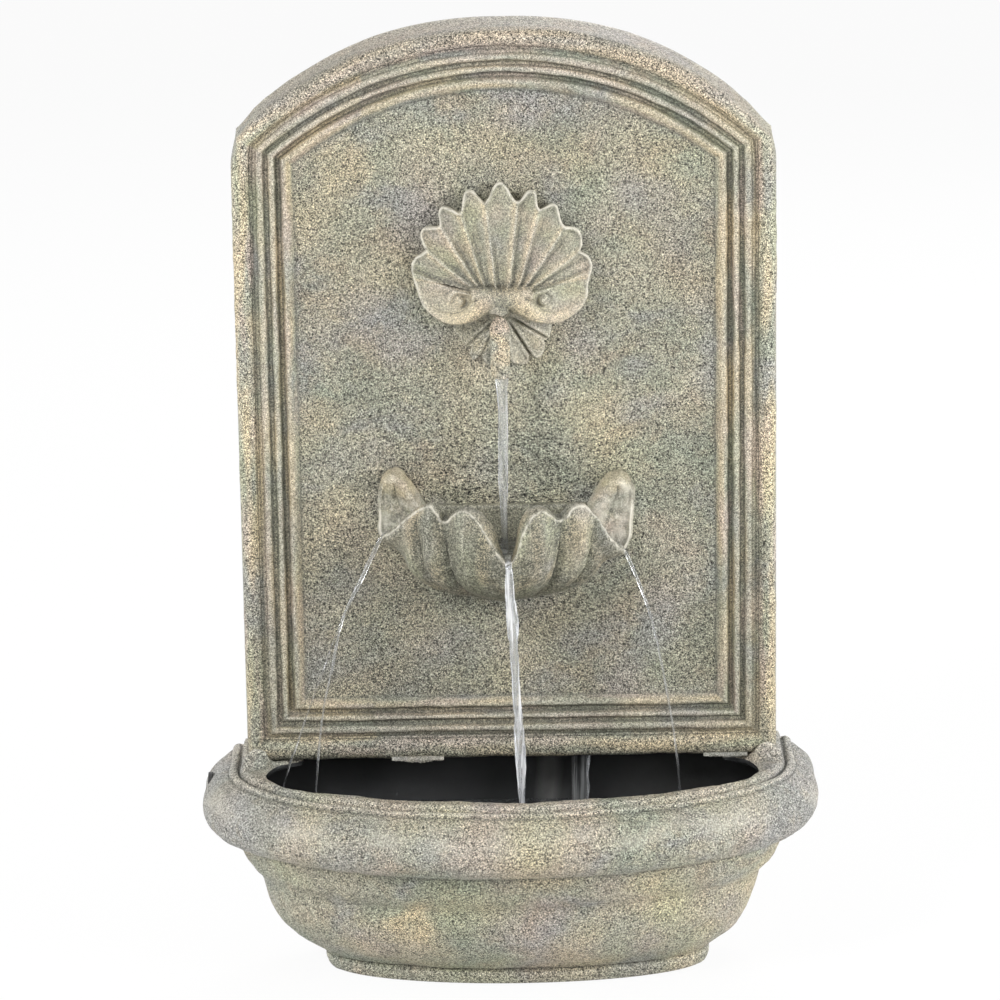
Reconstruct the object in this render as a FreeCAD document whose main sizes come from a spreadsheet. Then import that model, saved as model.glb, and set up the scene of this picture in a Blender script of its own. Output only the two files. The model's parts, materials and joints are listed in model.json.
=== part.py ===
"""Garden wall fountain: arched panel, shell rosette with spout, catch shell, half-round basin and pump.

Millimetres. X runs to the right, -Y runs from the wall towards the viewer, +Z runs up.
The origin is the middle of the basin's foot on the wall plane. "Depth" is the distance
from the wall, so a point at depth d has Y = -d.
"""
import FreeCAD, Part
import Sketcher

import math
import os

from FreeCAD import Placement, Rotation, Vector

doc = FreeCAD.newDocument("WallFountain")

# ---------------------------------------------------------------- driving dimensions

DIMENSIONS = {
    # arched panel
    "panel_width": 387.0,
    "panel_base": 156.0,
    "arch_centre": 405.0,
    "arch_radius": 287.0,
    "panel_depth": 50.0,
    "field_depth": 43.0,
    "panel_wall": 7.0,
    "panel_flare": 2.5,
    "roll_width": 13.5,
    "bead_start": 16.5,
    "bead_width": 6.0,
    "bead_rise": 3.6,
    "fillet_start": 26.0,
    "fillet_width": 4.5,
    "fillet_rise": 2.8,
    "groove_start": 31.0,
    "groove_width": 3.5,
    "groove_depth": 3.0,
    "frame_width": 43.5,
    "ogee_rise": 2.5,
    "shelf_rise": 0.8,
    # wall hanging
    "hanger_spacing": 240.0,
    "hanger_rise": 185.0,
    "plate_length": 46.0,
    "plate_height": 30.0,
    "plate_thickness": 2.0,
    "plate_recess": 3.0,
    "keyhole_radius": 4.5,
    "keyhole_slot_radius": 2.25,
    "keyhole_travel": 9.0,
    "plate_screw_radius": 1.5,
    "plate_screw_length": 11.0,
    "plate_screw_head": 2.0,
    "plate_screw_offset": 17.0,
    "head_room": 12.0,
    # basin
    "rim_half_width": 221.0,
    "side_straight": 50.0,
    "front_squash": 88.0,
    "rim_height": 156.0,
    "ridge_height": 152.8,
    "roll_top": 148.5,
    "roll_middle": 134.0,
    "notch_height": 103.0,
    "crease_height": 82.0,
    "foot_height": 12.0,
    "lip_inset": 37.0,
    "ridge_inset": 13.5,
    "roll_inset": 12.0,
    "notch_inset": 19.5,
    "crease_inset": 37.0,
    "foot_inset": 87.0,
    "basin_wall": 8.0,
    "basin_floor": 10.0,
    # cord grommet in the basin's side
    "grommet_depth": 28.0,
    "grommet_height": 133.0,
    "grommet_radius": 6.0,
    "grommet_flange": 9.0,
    "cord_radius": 2.6,
    # shell rosette
    "hub_height": 505.0,
    "fan_length": 77.5,
    "rib_radius": 9.5,
    "rib_root_radius": 3.0,
    "rib_lift": 6.0,
    "backing_radius": 58.0,
    "backing_rise": 6.0,
    "backing_thickness": 6.0,
    "lower_backing_radius": 27.0,
    "scroll_offset": 38.0,
    "scroll_radius": 26.0,
    "scroll_thickness": 15.0,
    "eye_offset": 32.0,
    "eye_drop": 5.5,
    "eye_radius": 8.5,
    "eye_bore": 4.0,
    "eye_rise": 3.0,
    "bar_radius": 6.5,
    "knob_drop": 12.0,
    "knob_radius": 8.0,
    "leaf_length": 41.0,
    "leaf_radius": 6.0,
    "leaf_lift": 5.0,
    # spout
    "spout_drop": 20.0,
    "spout_reach": 78.0,
    "spout_leg": 36.0,
    "spout_radius": 6.9,
    "spout_bore": 4.0,
    "spout_bend": 7.0,
    "spout_tail": 3.0,
    # catch shell
    "bowl_half_width": 88.0,
    "bowl_reach": 84.0,
    "bowl_foot": 276.0,
    "bowl_height": 86.0,
    "bowl_wall": 5.0,
    "ledge_drop": 15.0,
    "ledge_reach": 15.0,
    "notch_drop": 41.0,
    "bowl_back": 3.0,
    "ear_offset": 79.0,
    "ear_drop": 10.0,
    "ear_rise": 22.0,
    "ear_half_width": 14.0,
    "ear_half_height": 22.0,
    # supply tube
    "tube_radius": 6.5,
    "tube_bore": 5.0,
    "tube_depth": 25.0,
    "tube_side": 50.0,
    "tube_bend": 18.0,
    "slant_start": 230.0,
    "slant_end": 400.0,
    "elbow_drop": 9.0,
    "elbow_leg": 14.0,
    "elbow_bend": 3.5,
    "elbow_bore": 2.6,
    "nozzle_gap": 3.0,
    "clip_wall": 2.0,
    "clip_width": 10.0,
    "clip_low": 190.0,
    "clip_high": 440.0,
    # pump
    "pump_width": 48.0,
    "pump_height": 44.0,
    "pump_corner": 6.0,
    "pump_wall": 2.5,
    "cup_height": 6.0,
    "cup_radius": 7.0,
    "motor_length": 36.0,
    "chamber_length": 12.0,
    "chamber_radius": 15.0,
    "cover_length": 15.0,
    "cover_plate": 3.0,
    "axis_rise": 27.0,
    "outlet_offset": 9.0,
    "nozzle_height": 20.0,
    "nozzle_bore": 3.4,
    "nozzle_stem": 4.5,
    "nozzle_flange": 8.0,
    "spigot_radius": 4.4,
    "spigot_length": 4.0,
    "well_radius": 8.2,
    "well_wall": 1.6,
    "well_length": 26.0,
    "magnet_radius": 7.4,
    "magnet_length": 22.0,
    "magnet_start": 3.0,
    "shaft_radius": 1.5,
    "shaft_clearance": 0.06,
    "bush_radius": 3.2,
    "bush_length": 3.0,
    "hub_radius": 4.5,
    "hub_length": 12.5,
    "blade_radius": 12.5,
    "blade_thickness": 1.2,
    "blade_height": 6.0,
    "inlet_radius": 9.0,
    "boss_radius": 4.8,
    "spider_width": 1.6,
    "lip_length": 3.0,
    "lip_wall": 1.5,
    "core_start": 7.0,
    "core_thickness": 16.0,
    "core_leg": 8.0,
    "core_gap": 20.0,
    "core_yoke": 6.0,
    "core_height": 34.0,
    "coil_wall": 3.0,
    "coil_height": 7.5,
    "slot_width": 2.0,
    "slot_height": 22.0,
    "slot_pitch": 4.0,
    "cover_wall": 2.0,
    "dial_radius": 6.0,
    "dial_thickness": 3.0,
    "dial_rise": 7.0,
    "dial_stem": 2.5,
    "dial_catch": 4.0,
    "gland_radius": 4.5,
    "gland_length": 8.0,
    "gland_depth": 20.0,
    "gland_rise": 12.0,
    # fits
    "fit_gap": 0.05,
    "moving_gap": 0.3,
}

sheet = doc.addObject("Spreadsheet::Sheet", "Sizes")
for row, (alias, value) in enumerate(DIMENSIONS.items(), start=1):
    sheet.set("A%d" % row, alias)
    sheet.set("B%d" % row, str(value))
    sheet.setAlias("B%d" % row, alias)
doc.recompute()


class Size:
    """A length that knows both its value and the spreadsheet expression that gives it."""

    def __init__(self, value, text):
        self.value = float(value)
        self.text = text

    @staticmethod
    def of(other):
        return other if isinstance(other, Size) else Size(other, "(%r)" % float(other))

    def join(self, other, sign, value):
        return Size(value, "(%s %s %s)" % (self.text, sign, Size.of(other).text))

    def __add__(self, other):
        return self.join(other, "+", self.value + Size.of(other).value)

    def __sub__(self, other):
        return self.join(other, "-", self.value - Size.of(other).value)

    def __mul__(self, other):
        return self.join(other, "*", self.value * Size.of(other).value)

    def __truediv__(self, other):
        return self.join(other, "/", self.value / Size.of(other).value)

    def __radd__(self, other):
        return Size.of(other) + self

    def __rsub__(self, other):
        return Size.of(other) - self

    def __rmul__(self, other):
        return Size.of(other) * self

    def __neg__(self):
        return Size(-self.value, "(-1 * %s)" % self.text)


class Sizes:
    """Every alias of the spreadsheet as an attribute, such as S.panel_width."""

    def __getattr__(self, alias):
        return Size(sheet.get(alias), "Sizes.%s" % alias)


class Values:
    """The same aliases as plain numbers, for shapes that are made by Part's own functions."""

    def __getattr__(self, alias):
        return float(sheet.get(alias))


S = Sizes()
SIZE = Values()

# ---------------------------------------------------------------- small helpers


def bind(obj, prop, size):
    """Set a property to a spreadsheet expression."""
    obj.setExpression(prop, Size.of(size).text)


def place(obj, x, y, z, rotation=None):
    """Put a primitive at a point given by sizes."""
    if rotation:
        obj.Placement = Placement(Vector(), rotation)
    for letter, size in zip("xyz", (x, y, z)):
        bind(obj, "Placement.Base.%s" % letter, size)
    return obj


AXIS_TURN = {
    "X": Rotation(Vector(0, 1, 0), 90),
    "-X": Rotation(Vector(0, 1, 0), -90),
    "Y": Rotation(Vector(1, 0, 0), -90),
    "-Y": Rotation(Vector(1, 0, 0), 90),
    "Z": Rotation(),
}


def cylinder(name, radius, length, x, y, z, axis="Z"):
    """A cylinder that starts at the point and runs along the axis."""
    obj = doc.addObject("Part::Cylinder", name)
    bind(obj, "Radius", radius)
    bind(obj, "Height", length)
    return place(obj, x, y, z, AXIS_TURN[axis])


def cone(name, radius_1, radius_2, length, x, y, z, axis="Z"):
    """A cone that starts at the point with radius_1 and ends with radius_2."""
    obj = doc.addObject("Part::Cone", name)
    bind(obj, "Radius1", radius_1)
    bind(obj, "Radius2", radius_2)
    bind(obj, "Height", length)
    return place(obj, x, y, z, AXIS_TURN[axis])


def box(name, x, y, z, length, width, height):
    """A box from its lowest corner and its extents along X, Y and Z."""
    obj = doc.addObject("Part::Box", name)
    bind(obj, "Length", length)
    bind(obj, "Width", width)
    bind(obj, "Height", height)
    return place(obj, x, y, z)


def fuse(name, *parts):
    obj = doc.addObject("Part::MultiFuse", name)
    obj.Shapes = list(parts)
    return obj


def cut(name, base, *tools):
    obj = doc.addObject("Part::Cut", name)
    obj.Base = base
    obj.Tool = tools[0] if len(tools) == 1 else fuse(name + "_tools", *tools)
    return obj


def group(name, *parts):
    """Separate solids that share one node."""
    obj = doc.addObject("Part::Compound", name)
    obj.Links = list(parts)
    return obj


def feature(name, shape):
    obj = doc.addObject("Part::Feature", name)
    obj.Shape = shape
    obj.Placement = Placement()
    return obj


def new_body(name):
    return doc.addObject("PartDesign::Body", name)


def new_sketch(body, name, role, offset=None, origin=None):
    """A sketch on one of the body's origin planes, moved along its normal and, if asked, within it."""
    sketch = body.newObject("Sketcher::SketchObject", name)
    plane = [item for item in body.Origin.OriginFeatures if item.Role == role][0]
    sketch.AttachmentSupport = (plane, [""])
    sketch.MapMode = "FlatFace"
    if offset is not None:
        bind(sketch, "AttachmentOffset.Base.z", offset)
    if origin is not None:
        bind(sketch, "AttachmentOffset.Base.x", origin[0])
        bind(sketch, "AttachmentOffset.Base.y", origin[1])
    return sketch


def constrain(sketch, kind, size, *geometry):
    """Add a driving constraint whose value comes from the sheet."""
    size = Size.of(size)
    index = sketch.addConstraint(Sketcher.Constraint(kind, *geometry, size.value))
    sketch.renameConstraint(index, "%s_%d" % (kind.lower(), index))
    sketch.setExpression("Constraints.%s_%d" % (kind.lower(), index), size.text)


def pin_point(sketch, geometry, end, x, y):
    """Fix an end of a sketch element at sizes measured from the sketch origin."""
    constrain(sketch, "DistanceX", x, -1, 1, geometry, end)
    constrain(sketch, "DistanceY", y, -1, 1, geometry, end)


def polygon(sketch, points):
    """A closed outline through points whose coordinates are sizes."""
    points = [(Size.of(x), Size.of(y)) for x, y in points]
    first = sketch.GeometryCount
    count = len(points)
    for index in range(count):
        x_1, y_1 = points[index]
        x_2, y_2 = points[(index + 1) % count]
        start = Vector(x_1.value, y_1.value, 0)
        end = Vector(x_2.value, y_2.value, 0)
        sketch.addGeometry(Part.LineSegment(start, end), False)
    for index in range(count):
        following = first + (index + 1) % count
        sketch.addConstraint(Sketcher.Constraint("Coincident", first + index, 2, following, 1))
        pin_point(sketch, first + index, 1, *points[index])


def rectangle(sketch, x, y, width, height):
    """A rectangle about its centre."""
    x, y, width, height = (Size.of(value) for value in (x, y, width, height))
    left, right = x - width / 2, x + width / 2
    low, high = y - height / 2, y + height / 2
    polygon(sketch, [(left, low), (right, low), (right, high), (left, high)])


def circle(sketch, x, y, radius):
    x, y, radius = (Size.of(value) for value in (x, y, radius))
    shape = Part.Circle(Vector(x.value, y.value, 0), Vector(0, 0, 1), radius.value)
    index = sketch.addGeometry(shape, False)
    pin_point(sketch, index, 3, x, y)
    constrain(sketch, "Radius", radius, index)


def pad(body, sketch, length, reversed_side=False):
    obj = body.newObject("PartDesign::Pad", sketch.Name + "_pad")
    obj.Profile = sketch
    obj.Reversed = reversed_side
    bind(obj, "Length", length)
    return obj


def pocket(body, sketch, length, reversed_side=False):
    obj = body.newObject("PartDesign::Pocket", sketch.Name + "_pocket")
    obj.Profile = sketch
    obj.Reversed = reversed_side
    bind(obj, "Length", length)
    return obj


def loft(body, kind, sketches, ruled):
    """Loft through sketches; kind is AdditiveLoft or SubtractiveLoft."""
    obj = body.newObject("PartDesign::%s" % kind, sketches[0].Name + "_loft")
    obj.Profile = sketches[0]
    obj.Sections = [(sketch, [""]) for sketch in sketches[1:]]
    obj.Ruled = ruled
    return obj


def round_edges(body, base, radius, wanted):
    """Fillet the edges of the base feature that the test picks."""
    doc.recompute()
    names = ["Edge%d" % (index + 1) for index, edge in enumerate(base.Shape.Edges) if wanted(edge)]
    obj = body.newObject("PartDesign::Fillet", base.Name + "_round")
    obj.Base = (base, names)
    bind(obj, "Radius", radius)
    return obj


def along_x(edge):
    """True for a straight edge that runs along X."""
    ends = [vertex.Point for vertex in edge.Vertexes]
    if len(ends) < 2 or edge.Curve.TypeId != "Part::GeomLine":
        return False
    return (ends[1] - ends[0]).getAngle(Vector(1, 0, 0)) % math.pi < 1e-6


def mitred(points, cut_back, radius):
    """A round rod along straight runs, each corner turned in two mitred steps."""
    stations = [points[0]]
    for before, corner, after in zip(points, points[1:], points[2:]):
        stations.append(corner + (before - corner).normalize() * cut_back)
        stations.append(corner + (after - corner).normalize() * cut_back)
    stations.append(points[-1])
    section = Part.Wire(Part.makeCircle(radius, points[0], points[1] - points[0]))
    return Part.makePolygon(stations).makePipeShell([section], True, False, 1)


def flat_sided(outlines):
    """A solid with flat sides between closed polygons whose matching edges are parallel."""
    faces = [Part.Face(Part.makePolygon(outline + outline[:1])) for outline in (outlines[0], outlines[-1])]
    for lower, upper in zip(outlines, outlines[1:]):
        for index in range(len(lower)):
            ahead = (index + 1) % len(lower)
            corners = [lower[index], lower[ahead], upper[ahead], upper[index], lower[index]]
            faces.append(Part.Face(Part.makePolygon(corners)))
    solid = Part.Solid(Part.Shell(faces))
    if solid.Volume < 0:
        solid.reverse()
    return solid


def faceted(sections, sides, placement, squash=1.0):
    """A many-sided taper through regular polygons, given as (radius, distance along Z) pairs."""
    outlines = []
    for radius, along in sections:
        angles = [2 * math.pi * (side + 0.5) / sides for side in range(sides)]
        outlines.append([Vector(radius * math.cos(angle), radius * squash * math.sin(angle), along)
                         for angle in angles])
    solid = flat_sided(outlines)
    solid.Placement = placement
    return solid


# ---------------------------------------------------------------- arched panel


def arch_sketch(body, name, inset, depth, base):
    """The panel's arched outline, moved inwards by inset, on a plane at a depth from the wall."""
    sketch = new_sketch(body, name, "XZ_Plane", depth)
    half, low, radius = S.panel_width / 2 - inset, Size.of(base), S.arch_radius - inset
    centre = S.arch_centre
    spring = math.asin((radius.value ** 2 - half.value ** 2) ** 0.5 / radius.value)
    top = centre.value + radius.value * math.sin(spring)
    left_low, right_low = Vector(-half.value, low.value, 0), Vector(half.value, low.value, 0)
    left_top, right_top = Vector(-half.value, top, 0), Vector(half.value, top, 0)
    crown = Part.Circle(Vector(0, centre.value, 0), Vector(0, 0, 1), radius.value)
    sketch.addGeometry(Part.LineSegment(left_low, right_low), False)
    sketch.addGeometry(Part.LineSegment(right_low, right_top), False)
    sketch.addGeometry(Part.ArcOfCircle(crown, spring, math.pi - spring), False)
    sketch.addGeometry(Part.LineSegment(left_top, left_low), False)
    for first, second in ((0, 1), (1, 2), (2, 3), (3, 0)):
        sketch.addConstraint(Sketcher.Constraint("Coincident", first, 2, second, 1))
    sketch.addConstraint(Sketcher.Constraint("Vertical", 1))
    sketch.addConstraint(Sketcher.Constraint("Vertical", 3))
    pin_point(sketch, 0, 1, -half, low)
    pin_point(sketch, 0, 2, half, low)
    pin_point(sketch, 2, 3, 0, centre)
    constrain(sketch, "Radius", radius, 2)
    return sketch


def half_round(start, width, base, rise, steps):
    """Inset and depth of points over a half-round bead of the frame."""
    points = []
    for step in range(steps + 1):
        angle = math.pi * step / steps
        across = start + width * ((1 - math.cos(angle)) / 2)
        points.append((across, base + rise * math.sin(angle)))
    return points


def frame_profile():
    """The frame's moulding from its outer edge to the field, as (inset, depth) pairs."""
    shelf = S.field_depth + S.shelf_rise
    floor = S.field_depth - S.groove_depth
    ogee_start = S.groove_start + S.groove_width + 0.7
    ogee_width = S.frame_width - ogee_start
    points = [(Size.of(0), S.field_depth - S.roll_width)]
    points += half_round(Size.of(0), S.roll_width, S.panel_depth - S.roll_width / 2, S.roll_width / 2, 6)
    points += half_round(S.bead_start, S.bead_width, shelf, S.bead_rise, 4)
    points += half_round(S.fillet_start, S.fillet_width, shelf, S.fillet_rise, 3)
    points += [(S.groove_start, floor), (S.groove_start + S.groove_width, floor)]
    points += [(ogee_start, S.field_depth), (ogee_start + ogee_width * 0.2, S.field_depth + S.ogee_rise * 0.85)]
    points += [(ogee_start + ogee_width * 0.5, S.field_depth + S.ogee_rise), (S.frame_width, S.field_depth)]
    return points


def hanger_height():
    """Height of the keyhole plates' middle, from the centre of the panel's arch."""
    return S.arch_centre + S.hanger_rise


def make_panel():
    body, hung = new_body("wall_panel"), hanger_height()
    outlines = [arch_sketch(body, "frame_back", -S.panel_flare, 0, S.panel_base)]
    for index, (inset, depth) in enumerate(frame_profile()):
        outlines.append(arch_sketch(body, "frame_%02d" % index, inset, depth, S.panel_base + inset))
    loft(body, "AdditiveLoft", outlines, True)
    hollow = arch_sketch(body, "hollow", S.panel_wall, 0, S.panel_base - S.panel_wall)
    pocket(body, hollow, S.field_depth - S.panel_wall, True)
    boss_start = S.plate_recess + S.plate_thickness
    for side, sign in (("left", -1), ("right", 1)):
        centre = S.hanger_spacing / 2 * sign
        boss = new_sketch(body, "hanger_boss_" + side, "XZ_Plane", boss_start)
        rectangle(boss, centre, hung, S.plate_length, S.plate_height)
        pad(body, boss, S.field_depth - S.panel_wall / 2 - boss_start)
        room = new_sketch(body, "head_room_" + side, "XZ_Plane", boss_start)
        rectangle(room, centre, hung, S.head_room, S.plate_height - S.head_room / 2)
        pocket(body, room, S.head_room, True)
        for end, way in (("inner", -1), ("outer", 1)):
            pilot = new_sketch(body, "pilot_%s_%s" % (side, end), "XZ_Plane", boss_start)
            circle(pilot, centre + S.plate_screw_offset * way, hung, S.plate_screw_radius)
            pocket(body, pilot, S.plate_screw_length, True)
    bore = new_sketch(body, "spout_hole", "XZ_Plane", 0)
    circle(bore, 0, S.hub_height - S.spout_drop, S.spout_radius + S.fit_gap)
    pocket(body, bore, S.panel_depth, True)
    return body


def make_hangers():
    """Two steel keyhole plates on the bosses, each held by two pan-head screws."""
    plates, screws, hung = [], [], hanger_height()
    thick, front = S.plate_thickness, -(S.plate_recess + S.plate_thickness)
    for side, sign in (("left", -1), ("right", 1)):
        centre = S.hanger_spacing / 2 * sign
        low = hung - S.plate_height / 2
        plate = box("plate_" + side, centre - S.plate_length / 2, front, low, S.plate_length, thick, S.plate_height)
        entry_height = hung - S.keyhole_travel / 2
        seat_height = hung + S.keyhole_travel / 2
        at = (centre, -S.plate_recess)
        entry = cylinder("entry_" + side, S.keyhole_radius, thick, *at, entry_height, "-Y")
        seat = cylinder("seat_" + side, S.keyhole_slot_radius, thick, *at, seat_height, "-Y")
        slot = box("slot_" + side, centre - S.keyhole_slot_radius, front, entry_height,
                   S.keyhole_slot_radius * 2, thick, S.keyhole_travel)
        holes = [entry, seat, slot]
        for end, way in (("inner", -1), ("outer", 1)):
            at = (centre + S.plate_screw_offset * way, -S.plate_recess)
            name = "%s_%s" % (side, end)
            holes.append(cylinder("screw_hole_" + name, S.plate_screw_radius, thick, *at, hung, "-Y"))
            head = cylinder("screw_head_" + name, S.plate_screw_radius * 2, S.plate_screw_head,
                            *at, hung, "Y")
            shank = cylinder("screw_shank_" + name, S.plate_screw_radius, thick + S.plate_screw_length,
                             *at, hung, "-Y")
            screws.append(fuse("screw_" + name, head, shank))
        plates.append(cut("keyhole_plate_" + side, plate, *holes))
    return [group("hanger_plates", *plates), group("hanger_screws", *screws)]


# ---------------------------------------------------------------- basin


def plan(inset, height):
    """The basin's plan at a height: straight sides from the wall and a half-ellipse in front."""
    half = SIZE.rim_half_width - inset
    reach = half - SIZE.front_squash
    side = SIZE.side_straight
    centre = Vector(0, -side, height)
    ellipse = Part.Ellipse(Vector(half, -side, height), Vector(0, -side - reach, height), centre)
    front = Part.ArcOfEllipse(ellipse, 0, math.pi).toShape()
    left, right = Vector(-half, -side, height), Vector(half, -side, height)
    back_left, back_right = Vector(-half, side, height), Vector(half, side, height)
    sides = [Part.makeLine(left, back_left), Part.makeLine(back_left, back_right),
             Part.makeLine(back_right, right)]
    return Part.Wire([front] + sides)


def stack(sections):
    """A solid through plans given as (inset, height) pairs."""
    return Part.makeLoft([plan(inset, height) for inset, height in sections], True, True)


def in_front_of(shape, depth):
    """The share of a shape that lies further than depth from the wall plane."""
    size = 4 * SIZE.rim_half_width
    return shape.common(Part.makeBox(size, size, size, Vector(-size / 2, -size - depth, -size / 2)))


def roll_sections():
    """Inset and height over the big rim roll, from the notch below it to its top."""
    lowest, highest = math.radians(75), math.radians(57)
    sections = []
    for turn in (75, 50, 25, 0):
        angle = math.radians(turn)
        inset = SIZE.notch_inset * (1 - math.cos(angle)) / (1 - math.cos(lowest))
        drop = (SIZE.roll_middle - SIZE.notch_height) * math.sin(angle) / math.sin(lowest)
        sections.append((inset, SIZE.roll_middle - drop))
    for turn in (20, 40, 57):
        angle = math.radians(turn)
        inset = SIZE.roll_inset * (1 - math.cos(angle)) / (1 - math.cos(highest))
        rise = (SIZE.roll_top - SIZE.roll_middle) * math.sin(angle) / math.sin(highest)
        sections.append((inset, SIZE.roll_middle + rise))
    return sections


def curved_wall(top_inset, top, low_inset, low, steps):
    """Inset and height down a wall that curves in towards the foot, as a superellipse."""
    sections = []
    for step in range(steps + 1):
        fall = math.sin(math.pi / 2 * step / steps)
        inward = (1 - fall ** 1.8) ** (1 / 1.2)
        sections.append((low_inset - (low_inset - top_inset) * inward, top - (top - low) * fall))
    return sections


def make_basin():
    crease, foot = SIZE.crease_height, SIZE.foot_height
    roll = stack(roll_sections())
    bead = stack([(SIZE.crease_inset, crease), (SIZE.crease_inset - 3, crease + 3.6),
                  (SIZE.notch_inset + 6, notch_drop(0.5)), (SIZE.notch_inset + 2, notch_drop(0.25)),
                  (SIZE.notch_inset, SIZE.notch_height)])
    wall = stack(curved_wall(SIZE.crease_inset + 2, crease, SIZE.foot_inset, foot, 6))
    foot_base = stack([(SIZE.foot_inset + 3, 0), (SIZE.foot_inset, 4), (SIZE.foot_inset - 1, foot)])
    ridge = stack([(SIZE.roll_inset, SIZE.roll_top), (SIZE.ridge_inset, SIZE.roll_top + 2.5),
                   (SIZE.ridge_inset + 2.5, SIZE.ridge_height)])
    lip = stack([(SIZE.ridge_inset + 9, SIZE.ridge_height), (SIZE.ridge_inset + 10.5, SIZE.rim_height)])
    outside = in_front_of(roll.multiFuse([bead, wall, foot_base, ridge, lip]), 0)
    groove_low = SIZE.ridge_height - 2.4
    groove = stack([(SIZE.ridge_inset + 6.2, groove_low), (SIZE.ridge_inset + 6.2, SIZE.rim_height)])
    groove = groove.cut(stack([(SIZE.ridge_inset + 9, groove_low), (SIZE.ridge_inset + 9, SIZE.rim_height)]))
    return outside.cut(groove.cut(lip)).cut(basin_hollow()).cut(cord_hole())


def notch_drop(share):
    """Height of a point between the notch under the roll and the crease below the bead."""
    return SIZE.notch_height - (SIZE.notch_height - SIZE.crease_height) * share


def basin_hollow():
    """The space inside: it widens under the lip into the roll and narrows to the floor."""
    wall = SIZE.basin_wall
    low = curved_wall(SIZE.crease_inset + wall + 3, SIZE.crease_height, SIZE.foot_inset + wall,
                      SIZE.basin_floor, 4)
    top = SIZE.roll_top - wall + 4
    rise = [(SIZE.notch_inset + wall + 3, SIZE.notch_height), (wall + 5, SIZE.notch_height + 14),
            (wall, SIZE.roll_middle), (wall + 7, top)]
    mouth = stack([(SIZE.lip_inset, top - wall), (SIZE.lip_inset, SIZE.rim_height + wall)])
    return in_front_of(stack(low[::-1] + rise).fuse(mouth), wall)


def cord_hole():
    start = Vector(-SIZE.rim_half_width - SIZE.basin_wall, -SIZE.grommet_depth, SIZE.grommet_height)
    return Part.makeCylinder(SIZE.grommet_radius, 3 * SIZE.basin_wall, start, Vector(1, 0, 0))


def make_grommet():
    """A rubber grommet in the cord hole, with a flange on each side and a bore for the pump's lead."""
    wall = S.basin_wall
    outer = -S.rim_half_width
    stem = cylinder("grommet_stem", S.grommet_radius, wall, outer, -S.grommet_depth, S.grommet_height, "X")
    flange = cylinder("grommet_flange", S.grommet_flange, 3, outer - 3, -S.grommet_depth, S.grommet_height, "X")
    bore = cylinder("grommet_bore", S.cord_radius, wall + 6, outer - 3, -S.grommet_depth, S.grommet_height, "X")
    return cut("cord_grommet", fuse("grommet_body", stem, flange), bore)


# ---------------------------------------------------------------- shell rosette


def rib(root, angle, length, radius, lift):
    """A rib of the shell: it widens from its root to a blunt tip, turned by angle from straight up."""
    reach = length - radius
    sections = [(SIZE.rib_root_radius, 0), (radius, reach), (radius * 0.8, reach + radius * 0.62),
                (radius * 0.3, length)]
    tilt = Rotation(Vector(1, 0, 0), math.degrees(math.atan(lift / reach)))
    return faceted(sections, 10, Placement(root, Rotation(Vector(0, 1, 0), angle) * tilt))


def dish(x, z, sections, sides, squash=1.0):
    """A faceted cap that stands on the field, its axis towards the viewer."""
    return faceted(sections, sides, Placement(Vector(x, -SIZE.field_depth, z), AXIS_TURN["-Y"]), squash)


def make_rosette():
    """Scallop shell on the field: nine ribs, two side lobes with scrolls, and a small fan of leaves below."""
    face, hub_height = SIZE.field_depth, SIZE.hub_height
    knob_height, eye_height = hub_height - SIZE.knob_drop, hub_height - SIZE.eye_drop
    thick = SIZE.backing_thickness
    shell = dish(0, hub_height + SIZE.backing_rise, [(SIZE.backing_radius, 0), (SIZE.backing_radius, thick)], 36)
    shell = shell.cut(Part.makeBox(200, 100, 100, Vector(-100, -face - 50, hub_height - 120)))
    low = SIZE.lower_backing_radius
    solids = [dish(0, knob_height - 8, [(low, 0), (low, thick)], 20)]
    for step, angle in enumerate((0, 17, 33, 51, 69)):
        for side in ((1, -1) if step else (1,)):
            solids.append(rib(Vector(0, -face - 1, hub_height), side * angle, SIZE.fan_length - 2.4 * step,
                              SIZE.rib_radius, SIZE.rib_lift))
    for step, angle in enumerate((16, 38, 57, 74)):
        for side in (1, -1):
            solids.append(rib(Vector(0, -face - 1, knob_height), 180 - side * angle,
                              SIZE.leaf_length - 2.4 * step, SIZE.leaf_radius, SIZE.leaf_lift))
    radius, rise = SIZE.scroll_radius, SIZE.scroll_thickness
    cap = [(radius, 0), (radius * 0.96, rise * 0.4), (radius * 0.72, rise * 0.83), (radius * 0.3, rise)]
    eye = [(SIZE.eye_radius, rise / 2), (SIZE.eye_radius, rise + SIZE.eye_rise)]
    eye_hole = [(SIZE.eye_bore, rise), (SIZE.eye_bore, rise * 2)]
    for side in (-1, 1):
        solids.append(dish(side * SIZE.scroll_offset, hub_height + 2, cap, 20))
        solids.append(dish(side * SIZE.eye_offset, eye_height, eye, 14))
    bar_start = Vector(-SIZE.eye_offset, -face - SIZE.bar_radius - 4, eye_height + 3)
    solids.append(faceted([(SIZE.bar_radius, 0), (SIZE.bar_radius, 2 * SIZE.eye_offset)], 12,
                          Placement(bar_start, AXIS_TURN["X"])))
    knob_rise = SIZE.spout_reach - face + SIZE.knob_radius * 0.8
    solids.append(dish(0, knob_height, [(SIZE.knob_radius, 0), (SIZE.knob_radius, knob_rise * 0.8),
                                        (SIZE.knob_radius * 0.5, knob_rise)], 14))
    span = 4 * SIZE.fan_length
    before_field = Part.makeBox(span, span, span, Vector(-span / 2, -face - span, hub_height - span / 2))
    for solid in solids:
        shell = shell.fuse(solid.common(before_field))
    for side in (-1, 1):
        shell = shell.cut(dish(side * SIZE.eye_offset, eye_height, eye_hole, 14))
    return shell.removeSplitter().cut(spout_solid(SIZE.spout_radius + SIZE.fit_gap))


# ---------------------------------------------------------------- spout and its elbow


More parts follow.
